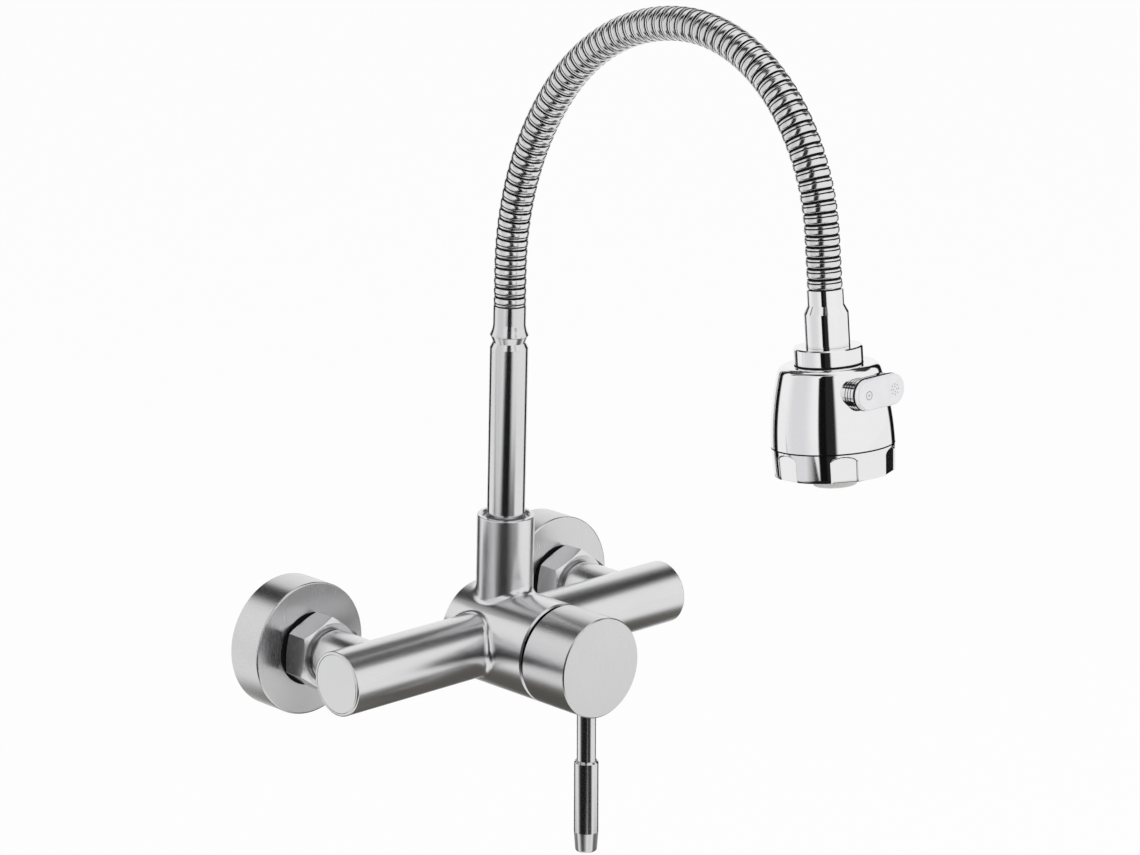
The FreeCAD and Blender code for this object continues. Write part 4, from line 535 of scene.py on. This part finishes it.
def oval_line(name, low, body, wide=0.3, proud=0.05):
    """A thin near-black line round the oblong boss of the diverter as painted shade; at the back
    of its plate it is the plate's painted shade.
    """
    half = BOSS_HALF + proud
    loop = []
    for way in (1, -1):
        for step in range(BOSS_STEPS + 1):
            turn = math.radians(180 * step / BOSS_STEPS - 90 * way)
            loop.append((way * BOSS_STRAIGHT + half * math.cos(turn), half * math.sin(turn)))
    outline = ((low, LINE_INSIDE), (low, 1), (low + wide, 1), (low + wide, LINE_INSIDE))
    verts = [(x * share, out, PLATE_CENTRE + z * share) for out, share in outline
             for x, z in loop]
    obj = make_object(name, verts, bands(len(outline), len(loop)), HEAD, (SHADE_BLACK,))
    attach(obj, body)


mark("stream_mark", -MARK_PLACE, [(0, 0, 1.4, 1.85), (0, 0, 0.1, 0.5)])
mark("spray_mark", MARK_PLACE, [(x, z, 0.02, 0.3) for x, z in circle(8, 2.1) + circle(4, 1.0)])
for number in range(BOSS_LINE_COUNT):
    oval_line(f"boss_line_{number}", BOSS_LINE + BOSS_LINE_STEP * number, "head")
# The plate's painted shade on the shell: a wider near-black band just behind the plate.
oval_line("plate_shade_line", PLATE_BACK, "rocker", wide=0.7, proud=0.5)


# Studio, in metres and degrees: a white world and floor, two lamps, and grey cards that only
# show as reflections in the metal.
VIEW, RISE, ROLL = -43.16, 15.14, 0.12  # the photograph's viewing angle
FLOOR_HEIGHT, FLOOR_REACH = -0.42, 8.0
MIDDLE = (0, -0.12, 0.08)  # the object's middle, which lamps and domes are aimed at
CARD_RAYS = ("camera", "diffuse", "shadow", "transmission")


def toward(turn, lift):
    """The direction of a turn round the object and a lift above level."""
    turn, lift = math.radians(turn), math.radians(lift)
    return Vector((math.sin(turn) * math.cos(lift), -math.cos(turn) * math.cos(lift),
                   math.sin(lift)))


def stage_object(name, verts, faces, material):
    mesh = bpy.data.meshes.new(name)
    mesh.from_pydata(verts, [], faces)
    mesh.materials.append(material)
    obj = bpy.data.objects.new(name, mesh)
    bpy.context.scene.collection.objects.link(obj)
    obj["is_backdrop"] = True
    return obj


def mixed(tree, share, first, second):
    """A mix of two shaders, by a number or a socket."""
    mix = tree.nodes.new("ShaderNodeMixShader")
    if isinstance(share, bpy.types.NodeSocket):
        tree.links.new(share, mix.inputs[0])
    else:
        mix.inputs[0].default_value = share
    tree.links.new(first, mix.inputs[1])
    tree.links.new(second, mix.inputs[2])
    return mix.outputs[0]


def white_to_eyes(tree, other, white):
    """The white shader for camera, glossy and transmission rays, and the other shader else."""
    path = tree.nodes.new("ShaderNodeLightPath")
    total = path.outputs["Is Camera Ray"]
    for name in ("Is Glossy Ray", "Is Transmission Ray"):
        add = tree.nodes.new("ShaderNodeMath")
        add.operation = "MAXIMUM"
        tree.links.new(total, add.inputs[0])
        tree.links.new(path.outputs[name], add.inputs[1])
        total = add.outputs[0]
    return mixed(tree, total, other, white)


def studio_world():
    world = bpy.data.worlds.new("studio")
    bpy.context.scene.world = world
    world.use_nodes = True
    tree = world.node_tree
    fill, white = tree.nodes["Background"], tree.nodes.new("ShaderNodeBackground")
    for light, strength in ((fill, 0.8), (white, 1.0)):
        light.inputs["Color"].default_value = (1, 1, 1, 1)
        light.inputs["Strength"].default_value = strength
    tree.links.new(white_to_eyes(tree, fill.outputs[0], white.outputs[0]),
                   tree.nodes["World Output"].inputs["Surface"])


def studio_floor():
    """A pale floor that keeps a soft shadow, looks white to the eye and is clear from below."""
    material = bpy.data.materials.new("floor")
    material.use_nodes = True
    tree = material.node_tree
    paint = tree.nodes["Principled BSDF"]
    paint.inputs["Base Color"].default_value = (0.9, 0.9, 0.9, 1)
    paint.inputs["Roughness"].default_value = 0.9
    paint.inputs["Specular IOR Level"].default_value = 0.0
    glow = tree.nodes.new("ShaderNodeEmission")
    seen = mixed(tree, 0.92, paint.outputs[0], glow.outputs[0])
    below = tree.nodes.new("ShaderNodeNewGeometry").outputs["Backfacing"]
    clear = tree.nodes.new("ShaderNodeBsdfTransparent").outputs[0]
    surface = mixed(tree, below, white_to_eyes(tree, paint.outputs[0], seen), clear)
    tree.links.new(surface, tree.nodes["Material Output"].inputs["Surface"])
    corners = [(x * FLOOR_REACH, y * FLOOR_REACH, FLOOR_HEIGHT)
               for x, y in ((-1, -1), (1, -1), (1, 1), (-1, 1))]
    stage_object("floor", corners, [(0, 1, 2, 3)], material)


def card_material(name, shade):
    """A matt card whose edges fade out, by the soft value kept at each of its points."""
    material = bpy.data.materials.new(name)
    material.use_nodes = True
    tree = material.node_tree
    tree.nodes.remove(tree.nodes["Principled BSDF"])
    soft = tree.nodes.new("ShaderNodeAttribute")
    soft.attribute_name = "soft"
    glow = tree.nodes.new("ShaderNodeEmission")
    glow.inputs["Color"].default_value = (*shade, 1)
    clear = tree.nodes.new("ShaderNodeBsdfTransparent")
    surface = mixed(tree, soft.outputs["Fac"], clear.outputs[0], glow.outputs[0])
    tree.links.new(surface, tree.nodes["Material Output"].inputs["Surface"])
    return material


def card(name, shade, place, rows, columns, fade):
    """A card seen only in reflections. Its place takes two shares of it to a point in metres,
    and it fades out over two shares of its width and its height."""
    verts, soft = [], []
    for row in range(rows + 1):
        for column in range(columns + 1):
            across, up = column / columns, row / rows
            verts.append(place(across, up))
            edge = (min(1.0, min(across, 1 - across) / fade[0])
                    * min(1.0, min(up, 1 - up) / fade[1]))
            soft.append(edge * edge * (3 - 2 * edge))
    wide = columns + 1
    faces = [(row * wide + column, row * wide + column + 1,
              (row + 1) * wide + column + 1, (row + 1) * wide + column)
             for row in range(rows) for column in range(columns)]
    obj = stage_object(name, verts, faces, card_material(name, shade))
    layer = obj.data.attributes.new("soft", "FLOAT", "POINT")
    layer.data.foreach_set("value", soft)
    for rays in CARD_RAYS:
        setattr(obj, "visible_" + rays, False)


def dome(turns, lifts, radius):
    """Part of a ball round the object, between two turns and two lifts."""
    def place(across, up):
        out = toward(turns[0] + (turns[1] - turns[0]) * across,
                     lifts[0] + (lifts[1] - lifts[0]) * up)
        return tuple(Vector(MIDDLE) + out * radius)
    return place


def board(centre, turn, width, low, high):
    """An upright board that faces a turn."""
    along = Vector((math.cos(math.radians(turn)), math.sin(math.radians(turn)), 0))

    def place(across, up):
        spot = centre + along * (width * (across - 0.5))
        return (spot.x, spot.y, low + (high - low) * up)
    return place


def ribbon(start, stop, half, shift=0.0, away=0.6):
    """A bent card that the gooseneck mirrors as a stripe towards the photograph's side: between
    two shares of its length, with half the stripe's turn round the hose, and that turn's shift."""
    eye = toward(VIEW, RISE)

    def place(across, up):
        point, forward = neck_frame(NECK_LENGTH * (start + (stop - start) * up))
        side = forward.cross(eye).normalized()
        turn = math.radians(shift + half * (2 * across - 1))
        normal = side.cross(forward) * math.cos(turn) + side * math.sin(turn)
        return tuple(point * MM + (normal * (2 * normal.dot(eye)) - eye) * away)
    return place


def lamp(name, place, size, power):
    light = bpy.data.lights.new(name, "AREA")
    light.size, light.energy = size, power
    obj = bpy.data.objects.new(name, light)
    bpy.context.scene.collection.objects.link(obj)
    obj.location = place
    obj.visible_glossy = obj.visible_camera = False
    aim = Vector(MIDDLE) - Vector(place)
    obj.rotation_euler = aim.to_track_quat("-Z", "Y").to_euler()


def front_cards():
    """The dark boards that draw the upright stripes on the head, the riser and the lever."""
    across = Vector((math.cos(math.radians(VIEW)), math.sin(math.radians(VIEW)), 0))
    centre = Vector((-0.4425, -0.5369, 0))
    low, high = -0.40, 0.9
    card("card_front", grey(0.022), board(centre + across * 0.015, VIEW, 0.36, low, high), 8, 40,
         (0.16, 0.05))
    card("card_core", grey(0.006), board(centre * 0.98 - across * 0.06, VIEW, 0.17, low, high),
         8, 40, (0.2, 0.05))
    card("card_lever", grey(0.03), board(Vector((-0.12, -0.72, 0)), -10, 0.62, -0.41, -0.12),
         8, 24, (0.3, 0.15))


def round_cards():
    """Dark cards behind the object for the metal's dark outlines, a pale one beside it, and
    grey ones over and under it that shade the satin tubes."""
    for name, low, high in (("card_side_left", -151, -121), ("card_side_right", 121, 151)):
        card(name, grey(0.008), dome((VIEW + low, VIEW + high), (-50, 50), 0.95), 20, 12,
             (0.16, 0.1))
    card("card_pale", grey(0.80), dome((VIEW - 100, VIEW - 28), (-45, 62), 1.3), 12, 12,
         (0.35, 0.2))
    card("card_over", grey(0.045), dome((40, 212), (33, 64), 1.1), 16, 40, (0.06, 0.2))
    card("card_low", (0.12, 0.114, 0.103), dome((20, 235), (-80, -34), 0.5), 16, 40, (0.08, 0.22))


def neck_cards():
    """The bent cards that draw the gooseneck's dark stripes."""
    card("card_neck_up", grey(0.012), ribbon(-0.08, 0.46, 15), 40, 8, (0.25, 0.3))
    card("card_neck_down", grey(0.012), ribbon(0.52, 0.80, 13, -5, 0.4), 40, 8, (0.3, 0.25))


studio_world()
studio_floor()
lamp("softbox_left", (-1.5, -0.7, 1.2), 1.3, 7.0)
lamp("softbox_right", (1.4, -1.2, 1.0), 1.3, 6.0)
front_cards()
round_cards()
neck_cards()


# Camera, at the photograph's angle.
def make_camera(aim=(5.13, -100.0, 108.55), distance=1.7188):
    """A camera that looks at a point, in millimetres, from a distance in metres."""
    data = bpy.data.cameras.new("camera")
    data.lens = 125.17
    data.sensor_width = 36.0
    data.clip_start, data.clip_end = 0.05, 50.0
    camera = bpy.data.objects.new("camera", data)
    bpy.context.scene.collection.objects.link(camera)
    back = toward(VIEW, RISE)
    level = Vector((0, 0, 1)).cross(back).normalized()
    plumb = back.cross(level)
    roll = math.radians(ROLL)
    right = level * math.cos(roll) + plumb * math.sin(roll)
    up = plumb * math.cos(roll) - level * math.sin(roll)
    place = Vector(aim) * MM + back * distance
    camera.matrix_world = Matrix((
        (right.x, up.x, back.x, place.x), (right.y, up.y, back.y, place.y),
        (right.z, up.z, back.z, place.z), (0, 0, 0, 1)))
    bpy.context.scene.camera = camera


make_camera()
bpy.context.scene.view_settings.view_transform = "Standard"

[[list(corner) for corner in box] for box in (cad_box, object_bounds())]
